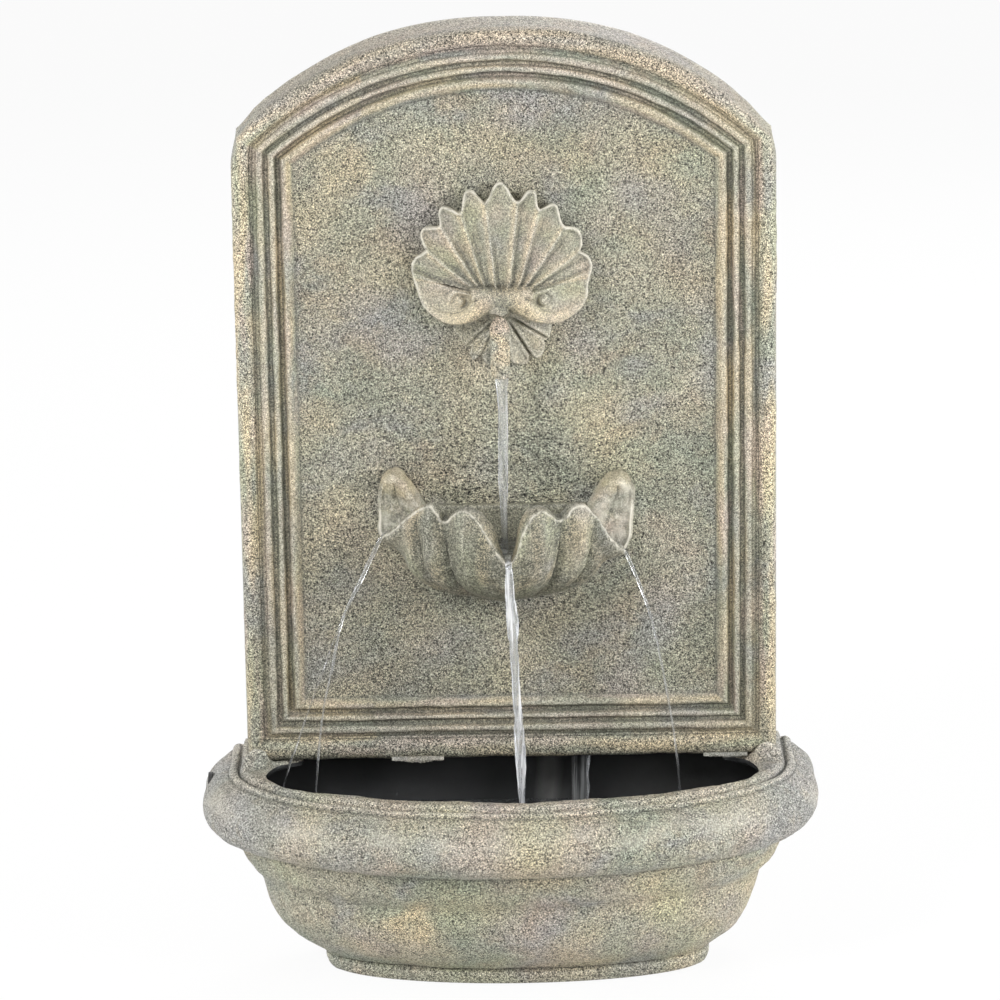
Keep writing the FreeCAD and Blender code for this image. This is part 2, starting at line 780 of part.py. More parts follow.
def spout_solid(radius):
    """The spout's bent shape at a radius: level through the panel, then down to the tip."""
    height = SIZE.hub_height - SIZE.spout_drop
    start = Vector(0, -(SIZE.field_depth - SIZE.panel_wall - SIZE.spout_tail), height)
    corner = Vector(0, -SIZE.spout_reach, height)
    tip = corner - Vector(0, 0, SIZE.spout_leg)
    return mitred([start, corner, tip], SIZE.spout_bend, radius)


def make_elbow():
    """Plastic elbow: a spigot in the spout's bore and a barbed leg down into the supply tube."""
    depth, height = SIZE.tube_depth, SIZE.hub_height - SIZE.spout_drop
    spigot_end = Vector(0, -SIZE.field_depth, height)
    corner = Vector(0, -depth, height)
    leg = Vector(0, -depth, tube_top() - SIZE.elbow_leg)
    bend = SIZE.elbow_bend
    outer = mitred([spigot_end, corner, leg], bend, SIZE.spout_bore - SIZE.fit_gap)
    sleeve = Part.makeCylinder(SIZE.tube_bore - SIZE.fit_gap, SIZE.elbow_leg, leg)
    collar = Part.makeCylinder(SIZE.tube_radius, 2, Vector(0, -depth, tube_top()))
    bore = mitred([spigot_end, corner, leg], bend, SIZE.elbow_bore)
    return outer.multiFuse([sleeve, collar]).cut(bore)


def tube_top():
    """Height of the supply tube's upper end, just under the elbow."""
    return SIZE.hub_height - SIZE.spout_drop - SIZE.elbow_drop


# ---------------------------------------------------------------- supply tube


def tube_route():
    depth = SIZE.tube_depth
    low = pump_top() + SIZE.nozzle_gap
    return [Vector(SIZE.tube_side, -depth, low), Vector(SIZE.tube_side, -depth, SIZE.slant_start),
            Vector(0, -depth, SIZE.slant_end), Vector(0, -depth, tube_top())]


def make_tube():
    points = tube_route()
    outer = mitred(points, SIZE.tube_bend, SIZE.tube_radius)
    return outer.cut(mitred(points, SIZE.tube_bend, SIZE.tube_bore))


def make_clips():
    """Two open clips that hold the tube against the inside of the panel."""
    clips = []
    inner, wall = S.tube_radius, S.clip_wall
    back = S.field_depth - S.panel_wall
    for name, side, height in (("low", S.tube_side, S.clip_low), ("high", Size.of(0), S.clip_high)):
        ring = cylinder("clip_ring_" + name, inner + wall, S.clip_width, side, -S.tube_depth, height)
        base = box("clip_base_" + name, side - inner, -back, height, inner * 2, back - S.tube_depth, S.clip_width)
        room = cylinder("clip_room_" + name, inner + S.fit_gap, S.clip_width, side, -S.tube_depth, height)
        mouth = box("clip_mouth_" + name, side - inner + wall, inner - S.tube_depth - wall, height,
                    (inner - wall) * 2, wall * 3, S.clip_width)
        clips.append(cut("clip_" + name, fuse("clip_body_" + name, ring, base), room, mouth))
    return group("tube_clips", *clips)


# ---------------------------------------------------------------- catch shell

FLUTES = ((0, 0.89), (12, 0.96), (25, 1.0), (37, 0.93), (47, 1.0), (57, 0.93), (70, 1.03), (81, 0.98),
          (90, 0.96))
FLARE = ((0.0, 0.15), (0.14, 0.44), (0.3, 0.68), (0.5, 0.89), (0.75, 0.99), (1.0, 1.03))
FLUTE_POINTS = 43


def flute_outline(inset):
    """The fluted shell seen from above: a wavy curve in front and a straight line at the back."""
    angles = [(-angle, reach) for angle, reach in reversed(FLUTES[1:])] + list(FLUTES)
    points = []
    for angle, reach in angles:
        turn = math.radians(angle)
        across = (SIZE.bowl_half_width - inset) * reach * math.sin(turn)
        ahead = (SIZE.bowl_reach - inset) * reach * math.cos(turn)
        points.append(Vector(across, -max(ahead, 0), 0))
    curve = Part.BSplineCurve()
    curve.interpolate(points)
    return curve.discretize(FLUTE_POINTS)


def flute_stack(inset, back, lift):
    """The shell's body: the fluted outline at growing scales, from its foot to above its rim."""
    outline = flute_outline(inset)
    levels = []
    for rise, scale in FLARE:
        level = Vector(0, -back, SIZE.bowl_foot + SIZE.bowl_height * rise + lift)
        levels.append([point * scale + level for point in outline])
    return flat_sided(levels)


def bowl_rim():
    return SIZE.bowl_foot + SIZE.bowl_height


def rim_cutter():
    """Everything above the shell's scalloped edge, seen from the front."""
    top = bowl_rim()
    drop, half = SIZE.notch_drop, SIZE.bowl_half_width
    side = [(0.0, 1.0), (0.13, 0.59), (0.24, 0.15), (0.38, 0.1), (0.52, 0.37), (0.64, 0.07), (0.8, 0.39),
            (1.02, 0.9), (1.15, 0.95)]
    side = [(out * half, top - down * drop) for out, down in side]
    edge = [(-x, z) for x, z in reversed(side[1:])] + side
    points = [Vector(x, 0, z) for x, z in edge]
    points += [Vector(1.15 * half, 0, top + drop), Vector(-1.15 * half, 0, top + drop), points[0]]
    face = Part.Face(Part.makePolygon(points))
    face.translate(Vector(0, -SIZE.field_depth - SIZE.ledge_reach, 0))
    return face.extrude(Vector(0, -SIZE.bowl_reach * 2, 0))


def make_catch_shell():
    face = SIZE.field_depth
    back = face + SIZE.bowl_back
    outside = flute_stack(0.0, face, 0.0)
    inside = flute_stack(SIZE.bowl_wall, back, SIZE.bowl_wall * 1.4)
    span = 4 * SIZE.bowl_half_width
    ledge_corner = Vector(-span / 2, -face - SIZE.ledge_reach, bowl_rim() - SIZE.ledge_drop)
    ledge = Part.makeBox(span, span, span, ledge_corner)
    shell = outside.cut(inside).cut(rim_cutter()).cut(ledge)
    for side in (-1, 1):
        shell = shell.fuse(make_ear(side))
    room = Part.makeBox(span, span, 2 * span, Vector(-span / 2, -face - span, SIZE.bowl_foot - span))
    return shell.common(room)


def make_ear(side):
    """The curled end of the shell's edge where it meets the panel."""
    half, squash = SIZE.ear_half_width, SIZE.ear_half_height / SIZE.ear_half_width
    rise = SIZE.ear_rise
    height = bowl_rim() - SIZE.ear_drop
    ear = dish(side * SIZE.ear_offset, height,
               [(half, 0), (half, rise * 0.45), (half * 0.8, rise * 0.8), (half * 0.45, rise)], 20, squash)
    hollow = [(half * 0.35, rise * 0.3), (half * 0.6, rise * 0.6), (half * 0.75, rise * 1.2)]
    return ear.cut(dish(side * (SIZE.ear_offset - half * 0.35), height + 2, hollow, 20, squash))


# ---------------------------------------------------------------- pump


def pump_top():
    """Height of the pump's top face."""
    return SIZE.basin_floor + SIZE.cup_height + SIZE.pump_height


PUMP_LOW = S.basin_floor + S.cup_height
PUMP_MIDDLE = PUMP_LOW + S.pump_height / 2
AXIS_Y = -(S.tube_depth + S.outlet_offset)
AXIS_Z = PUMP_LOW + S.axis_rise
CHAMBER_X = S.tube_side - S.chamber_length / 2
MOTOR_X = CHAMBER_X + S.chamber_length
PLATE_X = CHAMBER_X - S.cover_plate
COVER_X = PLATE_X - S.cover_length
BULKHEAD_X = MOTOR_X + S.pump_wall
REAR_X = MOTOR_X + S.motor_length
BUSH_X = MOTOR_X + S.well_length
CORE_X = MOTOR_X + S.core_start
DIAL_Z = AXIS_Z + S.dial_rise


def pump_block(name, start, length):
    """A body with the pump's rounded section, padded along X."""
    body = new_body(name)
    outline = new_sketch(body, name + "_outline", "YZ_Plane", start)
    rectangle(outline, AXIS_Y, PUMP_MIDDLE, S.pump_width, S.pump_height)
    block = pad(body, outline, length)
    round_edges(body, block, S.pump_corner, along_x)
    return body


def round_sketch(body, name, start, radius):
    """A circle about the pump's axis at an X station."""
    sketch = new_sketch(body, name, "YZ_Plane", start, (AXIS_Y, AXIS_Z))
    circle(sketch, 0, 0, radius)
    return sketch


def make_housing():
    """Housing with an open motor bay, a blind rotor well and the volute chamber in front."""
    body = pump_block("pump_housing", CHAMBER_X, S.chamber_length + S.motor_length)
    bay = new_sketch(body, "motor_bay", "YZ_Plane", REAR_X)
    rectangle(bay, AXIS_Y, PUMP_MIDDLE, S.pump_width - S.pump_wall * 2, S.pump_height - S.pump_wall * 2)
    pocket(body, bay, S.motor_length - S.pump_wall)
    well_end = S.well_length + S.bush_length + S.well_wall - S.pump_wall
    pad(body, round_sketch(body, "well_outside", BULKHEAD_X, S.well_radius + S.well_wall), well_end)
    pocket(body, round_sketch(body, "volute_chamber", CHAMBER_X, S.chamber_radius), S.chamber_length, True)
    pocket(body, round_sketch(body, "rotor_well", MOTOR_X, S.well_radius), S.well_length, True)
    pocket(body, round_sketch(body, "bush_socket", BUSH_X, S.bush_radius), S.bush_length, True)
    outlet = new_sketch(body, "outlet_hole", "XY_Plane", PUMP_LOW + S.pump_height)
    circle(outlet, S.tube_side, -S.tube_depth, S.spigot_radius + S.fit_gap)
    pocket(body, outlet, S.chamber_radius - S.fit_gap)
    return body


def make_motor():
    """U-shaped laminated core, a coil round each leg and the resin that fills the bay."""
    low = PUMP_LOW + S.pump_wall
    yoke_top = low + S.core_yoke
    inner, outer = S.core_gap / 2, S.core_gap / 2 + S.core_leg
    core = new_body("pump_stator_core")
    outline = new_sketch(core, "core_outline", "YZ_Plane", CORE_X)
    top = low + S.core_height
    polygon(outline, [(AXIS_Y - outer, low), (AXIS_Y + outer, low), (AXIS_Y + outer, top), (AXIS_Y + inner, top),
                      (AXIS_Y + inner, yoke_top), (AXIS_Y - inner, yoke_top), (AXIS_Y - inner, top),
                      (AXIS_Y - outer, top)])
    pad(core, outline, S.core_thickness)
    coils, rooms = [], []
    for name, way in (("back", 1), ("front", -1)):
        middle = AXIS_Y + (inner + S.core_leg / 2) * way
        around = S.core_leg / 2 + S.coil_wall
        winding = box("coil_outside_" + name, CORE_X - S.coil_wall, middle - around, yoke_top,
                      S.core_thickness + S.coil_wall * 2, around * 2, S.coil_height)
        leg = box("coil_leg_" + name, CORE_X, middle - S.core_leg / 2, yoke_top,
                  S.core_thickness, S.core_leg, S.coil_height)
        coils.append(cut("coil_" + name, winding, leg))
        rooms.append(winding)
    bay = box("bay_fill", BULKHEAD_X, AXIS_Y - S.pump_width / 2 + S.pump_wall, low, S.motor_length - S.pump_wall,
              S.pump_width - S.pump_wall * 2, S.pump_height - S.pump_wall * 2)
    well = cylinder("well_room", S.well_radius + S.well_wall,
                    S.well_length + S.bush_length + S.well_wall - S.pump_wall, BULKHEAD_X, AXIS_Y, AXIS_Z, "X")
    return [core, group("pump_coils", *coils), cut("motor_potting", bay, core, well, *rooms)]


def make_rotor():
    """Magnet and six-blade impeller that turn on the fixed shaft, and the two bushes that hold it."""
    bore = S.shaft_radius + S.shaft_clearance
    magnet_x = MOTOR_X + S.magnet_start
    magnet = cut("rotor_magnet", cylinder("magnet_blank", S.magnet_radius, S.magnet_length,
                                          magnet_x, AXIS_Y, AXIS_Z, "X"),
                 cylinder("magnet_bore", bore, S.magnet_length, magnet_x, AXIS_Y, AXIS_Z, "X"))
    impeller = new_body("impeller")
    hub_x = magnet_x - S.hub_length
    pad(impeller, round_sketch(impeller, "impeller_hub", hub_x, S.hub_radius), S.hub_length)
    blade = new_sketch(impeller, "blade", "YZ_Plane", hub_x, (AXIS_Y, AXIS_Z))
    inner = S.hub_radius * 0.6
    rectangle(blade, 0, (S.blade_radius + inner) / 2, S.blade_thickness, S.blade_radius - inner)
    blade_pad = pad(impeller, blade, S.blade_height)
    blades = impeller.newObject("PartDesign::PolarPattern", "blades")
    blades.Originals = [blade_pad]
    blades.Axis = (blade, ["N_Axis"])
    blades.Angle = 360
    blades.Occurrences = 6
    pocket(impeller, round_sketch(impeller, "impeller_bore", hub_x, bore), S.hub_length, True)
    shaft = cylinder("rotor_shaft", S.shaft_radius, BUSH_X + S.bush_length - PLATE_X, PLATE_X, AXIS_Y, AXIS_Z, "X")
    bushes = []
    for name, start in (("front", PLATE_X), ("rear", BUSH_X)):
        blank = cylinder("bush_blank_" + name, S.bush_radius, S.bush_length, start, AXIS_Y, AXIS_Z, "X")
        hole = cylinder("bush_bore_" + name, S.shaft_radius, S.bush_length, start, AXIS_Y, AXIS_Z, "X")
        bushes.append(cut("bush_" + name, blank, hole))
    return [magnet, impeller, shaft, group("shaft_bushes", *bushes)]


def make_volute_cover():
    """Plate over the chamber: inlet ring, spider with the front bush, and a lip for the intake cover."""
    body = pump_block("volute_cover", PLATE_X, S.cover_plate)
    slack = (S.cover_wall + S.moving_gap) * 2
    lip = new_sketch(body, "cover_lip", "YZ_Plane", PLATE_X - S.lip_length)
    rectangle(lip, AXIS_Y, PUMP_MIDDLE, S.pump_width - slack - S.pump_corner, S.pump_height - slack - S.pump_corner)
    pad(body, lip, S.lip_length)
    room = new_sketch(body, "lip_room", "YZ_Plane", PLATE_X - S.lip_length)
    inside = slack + S.lip_wall * 2
    rectangle(room, AXIS_Y, PUMP_MIDDLE, S.pump_width - inside - S.pump_corner, S.pump_height - inside - S.pump_corner)
    pocket(body, room, S.lip_length, True)
    pocket(body, round_sketch(body, "inlet", PLATE_X, S.inlet_radius), S.cover_plate, True)
    pad(body, round_sketch(body, "bush_boss", PLATE_X, S.boss_radius), S.cover_plate)
    for name, width, height in (("level", S.inlet_radius * 2 + 1, S.spider_width),
                                ("upright", S.spider_width, S.inlet_radius * 2 + 1)):
        arm = new_sketch(body, "spider_" + name, "YZ_Plane", PLATE_X, (AXIS_Y, AXIS_Z))
        rectangle(arm, 0, 0, width, height)
        pad(body, arm, S.cover_plate)
    pocket(body, round_sketch(body, "front_bush_seat", PLATE_X, S.bush_radius), S.cover_plate, True)
    return body


def make_intake():
    """Strainer cover with a row of slots, and the dial that turns in its face."""
    length = S.cover_length - S.moving_gap
    body = pump_block("intake_cover", COVER_X, length)
    room = new_sketch(body, "strainer_room", "YZ_Plane", COVER_X + S.cover_wall)
    rectangle(room, AXIS_Y, PUMP_MIDDLE, S.pump_width - S.cover_wall * 2 - S.pump_corner,
              S.pump_height - S.cover_wall * 2 - S.pump_corner)
    pocket(body, room, length - S.cover_wall, True)
    slots = 9
    slot = new_sketch(body, "strainer_slot", "YZ_Plane", COVER_X, (AXIS_Y, PUMP_LOW + 4 + S.slot_height / 2))
    rectangle(slot, S.slot_pitch * -4, 0, S.slot_width, S.slot_height)
    first = pocket(body, slot, S.cover_wall, True)
    row = body.newObject("PartDesign::LinearPattern", "strainer_slots")
    row.Originals = [first]
    row.Direction = (slot, ["H_Axis"])
    row.Occurrences = slots
    bind(row, "Length", S.slot_pitch * (slots - 1))
    stem_hole = new_sketch(body, "dial_hole", "YZ_Plane", COVER_X, (AXIS_Y, DIAL_Z))
    circle(stem_hole, 0, 0, S.dial_stem + S.fit_gap)
    pocket(body, stem_hole, S.cover_wall, True)
    knob_x = COVER_X - S.moving_gap - S.dial_thickness
    knob = cylinder("dial_knob", S.dial_radius, S.dial_thickness, knob_x, AXIS_Y, DIAL_Z, "X")
    grip = box("dial_grip", knob_x - S.dial_thickness, AXIS_Y - 1, DIAL_Z - S.dial_radius,
               S.dial_thickness, 2, S.dial_radius * 2)
    catch_x = COVER_X + S.cover_wall + S.moving_gap
    stem = cylinder("dial_stem", S.dial_stem, catch_x - knob_x, knob_x, AXIS_Y, DIAL_Z, "X")
    catch = cylinder("dial_catch", S.dial_catch, 1.5, catch_x, AXIS_Y, DIAL_Z, "X")
    return [body, fuse("flow_dial", knob, grip, stem, catch)]


def make_nozzle():
    """Barbed outlet: a spigot in the housing's top, a flange, and a stem up into the tube."""
    top = PUMP_LOW + S.pump_height
    at = (S.tube_side, -S.tube_depth)
    stem_length = S.nozzle_height - S.nozzle_gap
    stem_low = top + S.nozzle_gap
    pieces = [cylinder("nozzle_spigot", S.spigot_radius, S.spigot_length, *at, top - S.spigot_length),
              cylinder("nozzle_collar", S.nozzle_flange, S.nozzle_gap, *at, top),
              cylinder("nozzle_stem", S.nozzle_stem, stem_length, *at, stem_low)]
    pieces.append(cone("nozzle_barb", S.tube_bore - S.fit_gap, S.nozzle_stem - 0.1, 4,
                       *at, stem_low + stem_length * 0.6))
    bore = cylinder("nozzle_bore", S.nozzle_bore, S.spigot_length + S.nozzle_height, *at, top - S.spigot_length)
    return cut("outlet_nozzle", fuse("nozzle_body", *pieces), bore)


def make_cups():
    """Four rubber suction feet under the housing."""
    cups = []
    inset = S.cup_radius + 1
    for side, x in (("front", CHAMBER_X + inset), ("rear", REAR_X - inset)):
        for way in (-1, 1):
            y = AXIS_Y + (S.pump_width / 2 - inset) * way
            name = "%s_%s" % (side, "near" if way < 0 else "far")
            cups.append(cone("cup_" + name, S.cup_radius, S.cup_radius / 2, S.cup_height, x, y, S.basin_floor))
    return group("suction_cups", *cups)


def make_gland():
    at = (REAR_X, -S.gland_depth, PUMP_LOW + S.gland_rise)
    return cut("cord_gland", cone("gland_body", S.gland_radius, S.gland_radius * 0.75, S.gland_length, *at, "X"),
               cylinder("gland_bore", S.cord_radius, S.gland_length, *at, "X"))


# ---------------------------------------------------------------- all the nodes

nodes = [make_panel()]
nodes += make_hangers()
nodes.append(feature("basin", make_basin()))
nodes.append(make_grommet())
nodes.append(feature("shell_rosette", make_rosette()))
nodes.append(feature("spout", spout_solid(SIZE.spout_radius).cut(spout_solid(SIZE.spout_bore))))
nodes.append(feature("spout_elbow", make_elbow()))
nodes.append(feature("supply_tube", make_tube()))
nodes.append(make_clips())
nodes.append(feature("scallop_bowl", make_catch_shell()))
nodes.append(make_housing())
nodes += make_motor()
nodes += make_rotor()
nodes.append(make_volute_cover())
nodes += make_intake()
nodes.append(make_nozzle())
nodes.append(make_cups())
nodes.append(make_gland())

doc.recompute()
for obj in doc.Objects:
    bad_state = [word for word in obj.State if word in ("Invalid", "Error")]
    if bad_state:
        raise RuntimeError("%s is %s" % (obj.Name, bad_state))
for node in nodes:
    if node.Shape.isNull() or not node.Shape.isValid() or not node.Shape.Solids:
        raise RuntimeError("%s has no valid solid" % node.Label)

os.makedirs("parts", exist_ok=True)
for node in nodes:
    node.Shape.exportStep("parts/%s.step" % node.Label)
    print("%-18s solids %d  volume %.1f cm3" % (node.Label, len(node.Shape.Solids), node.Shape.Volume / 1000))
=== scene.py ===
import json
import math

import bmesh
import bpy
import numpy as np
from mathutils import Matrix, Vector, noise


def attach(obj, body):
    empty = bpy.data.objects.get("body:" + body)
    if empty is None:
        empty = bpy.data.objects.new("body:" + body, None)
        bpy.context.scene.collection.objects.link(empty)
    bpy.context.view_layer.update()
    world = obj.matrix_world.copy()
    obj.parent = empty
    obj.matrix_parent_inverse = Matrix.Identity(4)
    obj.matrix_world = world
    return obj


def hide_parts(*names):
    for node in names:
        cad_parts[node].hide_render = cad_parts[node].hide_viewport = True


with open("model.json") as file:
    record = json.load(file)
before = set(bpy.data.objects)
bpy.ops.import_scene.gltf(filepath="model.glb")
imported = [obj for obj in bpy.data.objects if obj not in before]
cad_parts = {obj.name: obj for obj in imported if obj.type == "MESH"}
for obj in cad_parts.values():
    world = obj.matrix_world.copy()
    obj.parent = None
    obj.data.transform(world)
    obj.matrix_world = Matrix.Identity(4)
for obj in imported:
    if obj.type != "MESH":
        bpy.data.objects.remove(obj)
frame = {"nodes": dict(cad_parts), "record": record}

# Lengths here are in millimetres unless a name says otherwise; a point is (across, depth from the wall, height).
MM = 0.001
FIELD = 43.0                # depth of the panel's recessed field
ROSETTE = (-2.5, 503.0)     # across and height of the point that the shell's flutes spread from

scene = bpy.context.scene
nodes_of = frame["nodes"]
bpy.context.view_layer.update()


# ---------------------------------------------------------------- mesh helpers


def smooth_step(low, high, value):
    """0 below low, 1 above high and a smooth rise between; low may be the larger one."""
    share = np.clip((value - low) / (high - low), 0.0, 1.0)
    return share * share * (3 - 2 * share)


def hump(offset, width, second=0.0, second_width=1.0):
    """A bell of height 1 at its middle, by the distance along one direction or two."""
    return np.exp(-(offset / width) ** 2 - (second / second_width) ** 2)


def spline(points, steps, closed=False):
    """Catmull-Rom curve through the points, with that many steps between each two."""
    points = np.asarray(points, float)
    if closed:
        padded = np.vstack([points[-1], points, points[:2]])
    else:
        padded = np.vstack([2 * points[0] - points[1], points, 2 * points[-1] - points[-2]])
    out = []
    for index in range(len(padded) - 3):
        a, b, c, d = padded[index:index + 4]
        for step in range(steps):
            t = step / steps
            out.append(0.5 * (2 * b + (c - a) * t + (2 * a - 5 * b + 4 * c - d) * t ** 2
                              + (3 * b - a - 3 * c + d) * t ** 3))
    if not closed:
        out.append(points[-1])
    return np.array(out)


def bumps(points, size, seed):
    """Smooth noise between about -1 and 1 at each point, in lumps of about that size."""
    shift = Vector((seed * 17.3, seed * 5.1, seed * 9.7))
    return np.array([noise.noise(Vector(p) / size + shift) for p in points]) * 1.6


def grid_faces(rows, columns, closed=False):
    """Quads between rows of points that are stored one row after another."""
    faces = []
    span = columns if closed else columns - 1
    for row in range(rows - 1):
        for column in range(span):
            a = row * columns + column
            b = row * columns + (column + 1) % columns
            faces.append((a, b, b + columns, a + columns))
    return faces


def caps(rows, columns):
    """The two faces that close a tube at its first and last ring."""
    return [list(range(columns)), list(range((rows - 1) * columns, rows * columns))]


def strip_faces(rows, columns):
    """A bar from rows of points along it: its sides, its two ends and the face from its first row to its last."""
    first, last = caps(rows, columns)
    ends = [[row * columns + column for row in range(rows)] for column in (0, columns - 1)]
    return grid_faces(rows, columns) + ends + [first + last[::-1]]


def disc_faces(rows, columns, middle):
    """Rings of quads, closed by a fan round the middle point and by one face over the last ring."""
    fan = [(middle, (i + 1) % columns, i) for i in range(columns)]
    return grid_faces(rows, columns, True) + fan + caps(rows, columns)[1:]


def add_piece(name, points, faces, sharp, marks=None):
    """A mesh piece from points in millimetres as (across, depth, height)."""
    points = np.asarray(points, float)
    world = np.column_stack([points[:, 0], -points[:, 1], points[:, 2]]) * MM
    mesh = bpy.data.meshes.new(name)
    mesh.from_pydata(world.tolist(), [], [tuple(int(i) for i in face) for face in faces])
    if marks is not None:
        mesh.attributes.new("mark", "FLOAT", "POINT").data.foreach_set("value", np.asarray(marks, np.float32))
    work = bmesh.new()
    work.from_mesh(mesh)
    bmesh.ops.remove_doubles(work, verts=work.verts, dist=1e-6)
    bmesh.ops.recalc_face_normals(work, faces=work.faces)
    work.to_mesh(mesh)
    work.free()
    mesh.polygons.foreach_set("use_smooth", [True] * len(mesh.polygons))
    mesh.set_sharp_from_angle(angle=math.radians(sharp))
    mesh.update()
    piece = bpy.data.objects.new(name, mesh)
    scene.collection.objects.link(piece)
    return piece


def vectors(mesh, kind="co"):
    """Each point's place in metres, or its normal."""
    out = np.empty(len(mesh.vertices) * 3)
    mesh.vertices.foreach_get(kind, out)
    return out.reshape(-1, 3)


def millimetres(piece):
    """Each point's place in millimetres, in the scene's own axes: y is minus the depth from the wall."""
    return vectors(piece.data) / MM


def edge_ends(mesh):
    """The two points that each edge joins."""
    ends = np.empty(len(mesh.edges) * 2, int)
    mesh.edges.foreach_get("vertices", ends)
    return ends.reshape(-1, 2).T


def spread(mesh, values, rounds):
    """Values averaged with their neighbours a number of times."""
    a, b = edge_ends(mesh)
    count = len(mesh.vertices)
    degree = np.maximum(np.bincount(a, minlength=count) + np.bincount(b, minlength=count), 1)
    for _ in range(rounds):
        total = np.bincount(a, values[b], count) + np.bincount(b, values[a], count)
        values = 0.5 * values + 0.5 * total / degree
    return values


def mark_relief(piece, radius, rounds=2):
    """Stores how far each point is a crest (1) or a recess (0), for the dark wash and the pale high spots."""
    mesh = piece.data
    points, facing, count = vectors(mesh), vectors(mesh, "normal"), len(mesh.vertices)
    a, b = edge_ends(mesh)
    span = points[b] - points[a]
    length = np.maximum((span ** 2).sum(1), 1e-9)
    bend = np.bincount(a, -(span * facing[a]).sum(1) / length, count)
    bend += np.bincount(b, (span * facing[b]).sum(1) / length, count)
    relief = 0.5 + 0.5 * np.tanh(spread(mesh, bend, rounds) * radius * MM)
    store(piece, "relief", relief)


def store(piece, name, values):
    """Keeps one value for each point, which the materials read by that name."""
    mesh = piece.data
    layer = mesh.attributes.get(name) or mesh.attributes.new(name, "FLOAT", "POINT")
    layer.data.foreach_set("value", np.asarray(values, np.float32))


def stored(piece, name):
    values = np.empty(len(piece.data.vertices))
    piece.data.attributes[name].data.foreach_get("value", values)
    return values


def roughen(piece, layers, seed=0, keep=None):
    """Moves the surface along its normals by uneven lumps, given as (height, size) pairs."""
    mesh = piece.data
    points, facing = vectors(mesh), vectors(mesh, "normal")
    shift = np.zeros(len(points))
    for index, (height, size) in enumerate(layers):
        shift += height * bumps(points / MM, size, seed + index)
    if keep is not None:
        shift *= keep(points / MM)
    mesh.vertices.foreach_set("co", (points + facing * (shift * MM)[:, None]).ravel())
    mesh.update()


def finish_piece(piece, material, slot, *replaced, body="fountain"):
    piece.data.materials.append(material)
    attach(piece, body)
    if replaced:
        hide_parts(*replaced)
    return piece


# ---------------------------------------------------------------- materials


class Shader:
    """A node material built line by line."""

    def __init__(self, name):
        self.material = bpy.data.materials.new(name)
        self.material.use_nodes = True
        self.tree = self.material.node_tree
        self.surface = self.tree.nodes["Principled BSDF"]
        self.place = self.add("ShaderNodeTexCoord").outputs["Object"]

    def add(self, kind, **settings):
        node = self.tree.nodes.new(kind)
        for key, value in settings.items():
            setattr(node, key, value)
        return node

    def join(self, source, target):
        self.tree.links.new(source, target)

    def noise(self, scale, detail=2.0, rough=0.5, twist=0.0, place=None):
        node = self.add("ShaderNodeTexNoise")
        self.join(place or self.place, node.inputs["Vector"])
        for key, value in (("Scale", scale), ("Detail", detail), ("Roughness", rough), ("Distortion", twist)):
            node.inputs[key].default_value = value
        return node.outputs["Fac"]

    def stretch(self, x, y, z):
        node = self.add("ShaderNodeMapping")
        self.join(self.place, node.inputs["Vector"])
        node.inputs["Scale"].default_value = (x, y, z)
        return node.outputs["Vector"]

    def value(self, name):
        return self.add("ShaderNodeAttribute", attribute_name=name).outputs["Fac"]

    def math(self, operation, a, b=None):
        node = self.add("ShaderNodeMath", operation=operation)
        for socket, value in zip(node.inputs, (a, b)):
            if isinstance(value, (int, float)):
                socket.default_value = value
            elif value is not None:
                self.join(value, socket)
        return node.outputs[0]

    def span(self, value, low, high, to_low=0.0, to_high=1.0):
        node = self.add("ShaderNodeMapRange")
        self.join(value, node.inputs[0])
        for index, number in enumerate((low, high, to_low, to_high), 1):
            node.inputs[index].default_value = number
        return node.outputs[0]

    def mix(self, share, a, b, kind="MIX"):
        node = self.add("ShaderNodeMix", data_type="RGBA", blend_type=kind)
        for socket, value in ((node.inputs[0], share), (node.inputs[6], a), (node.inputs[7], b)):
            if isinstance(value, (int, float)):
                socket.default_value = value
            elif isinstance(value, tuple):
                socket.default_value = (*value, 1.0)
            else:
                self.join(value, socket)
        return node.outputs[2]

    def bump(self, height, distance, strength):
        node = self.add("ShaderNodeBump")
        node.inputs["Distance"].default_value = distance
        node.inputs["Strength"].default_value = strength
        self.join(height, node.inputs["Height"])
        return node.outputs["Normal"]


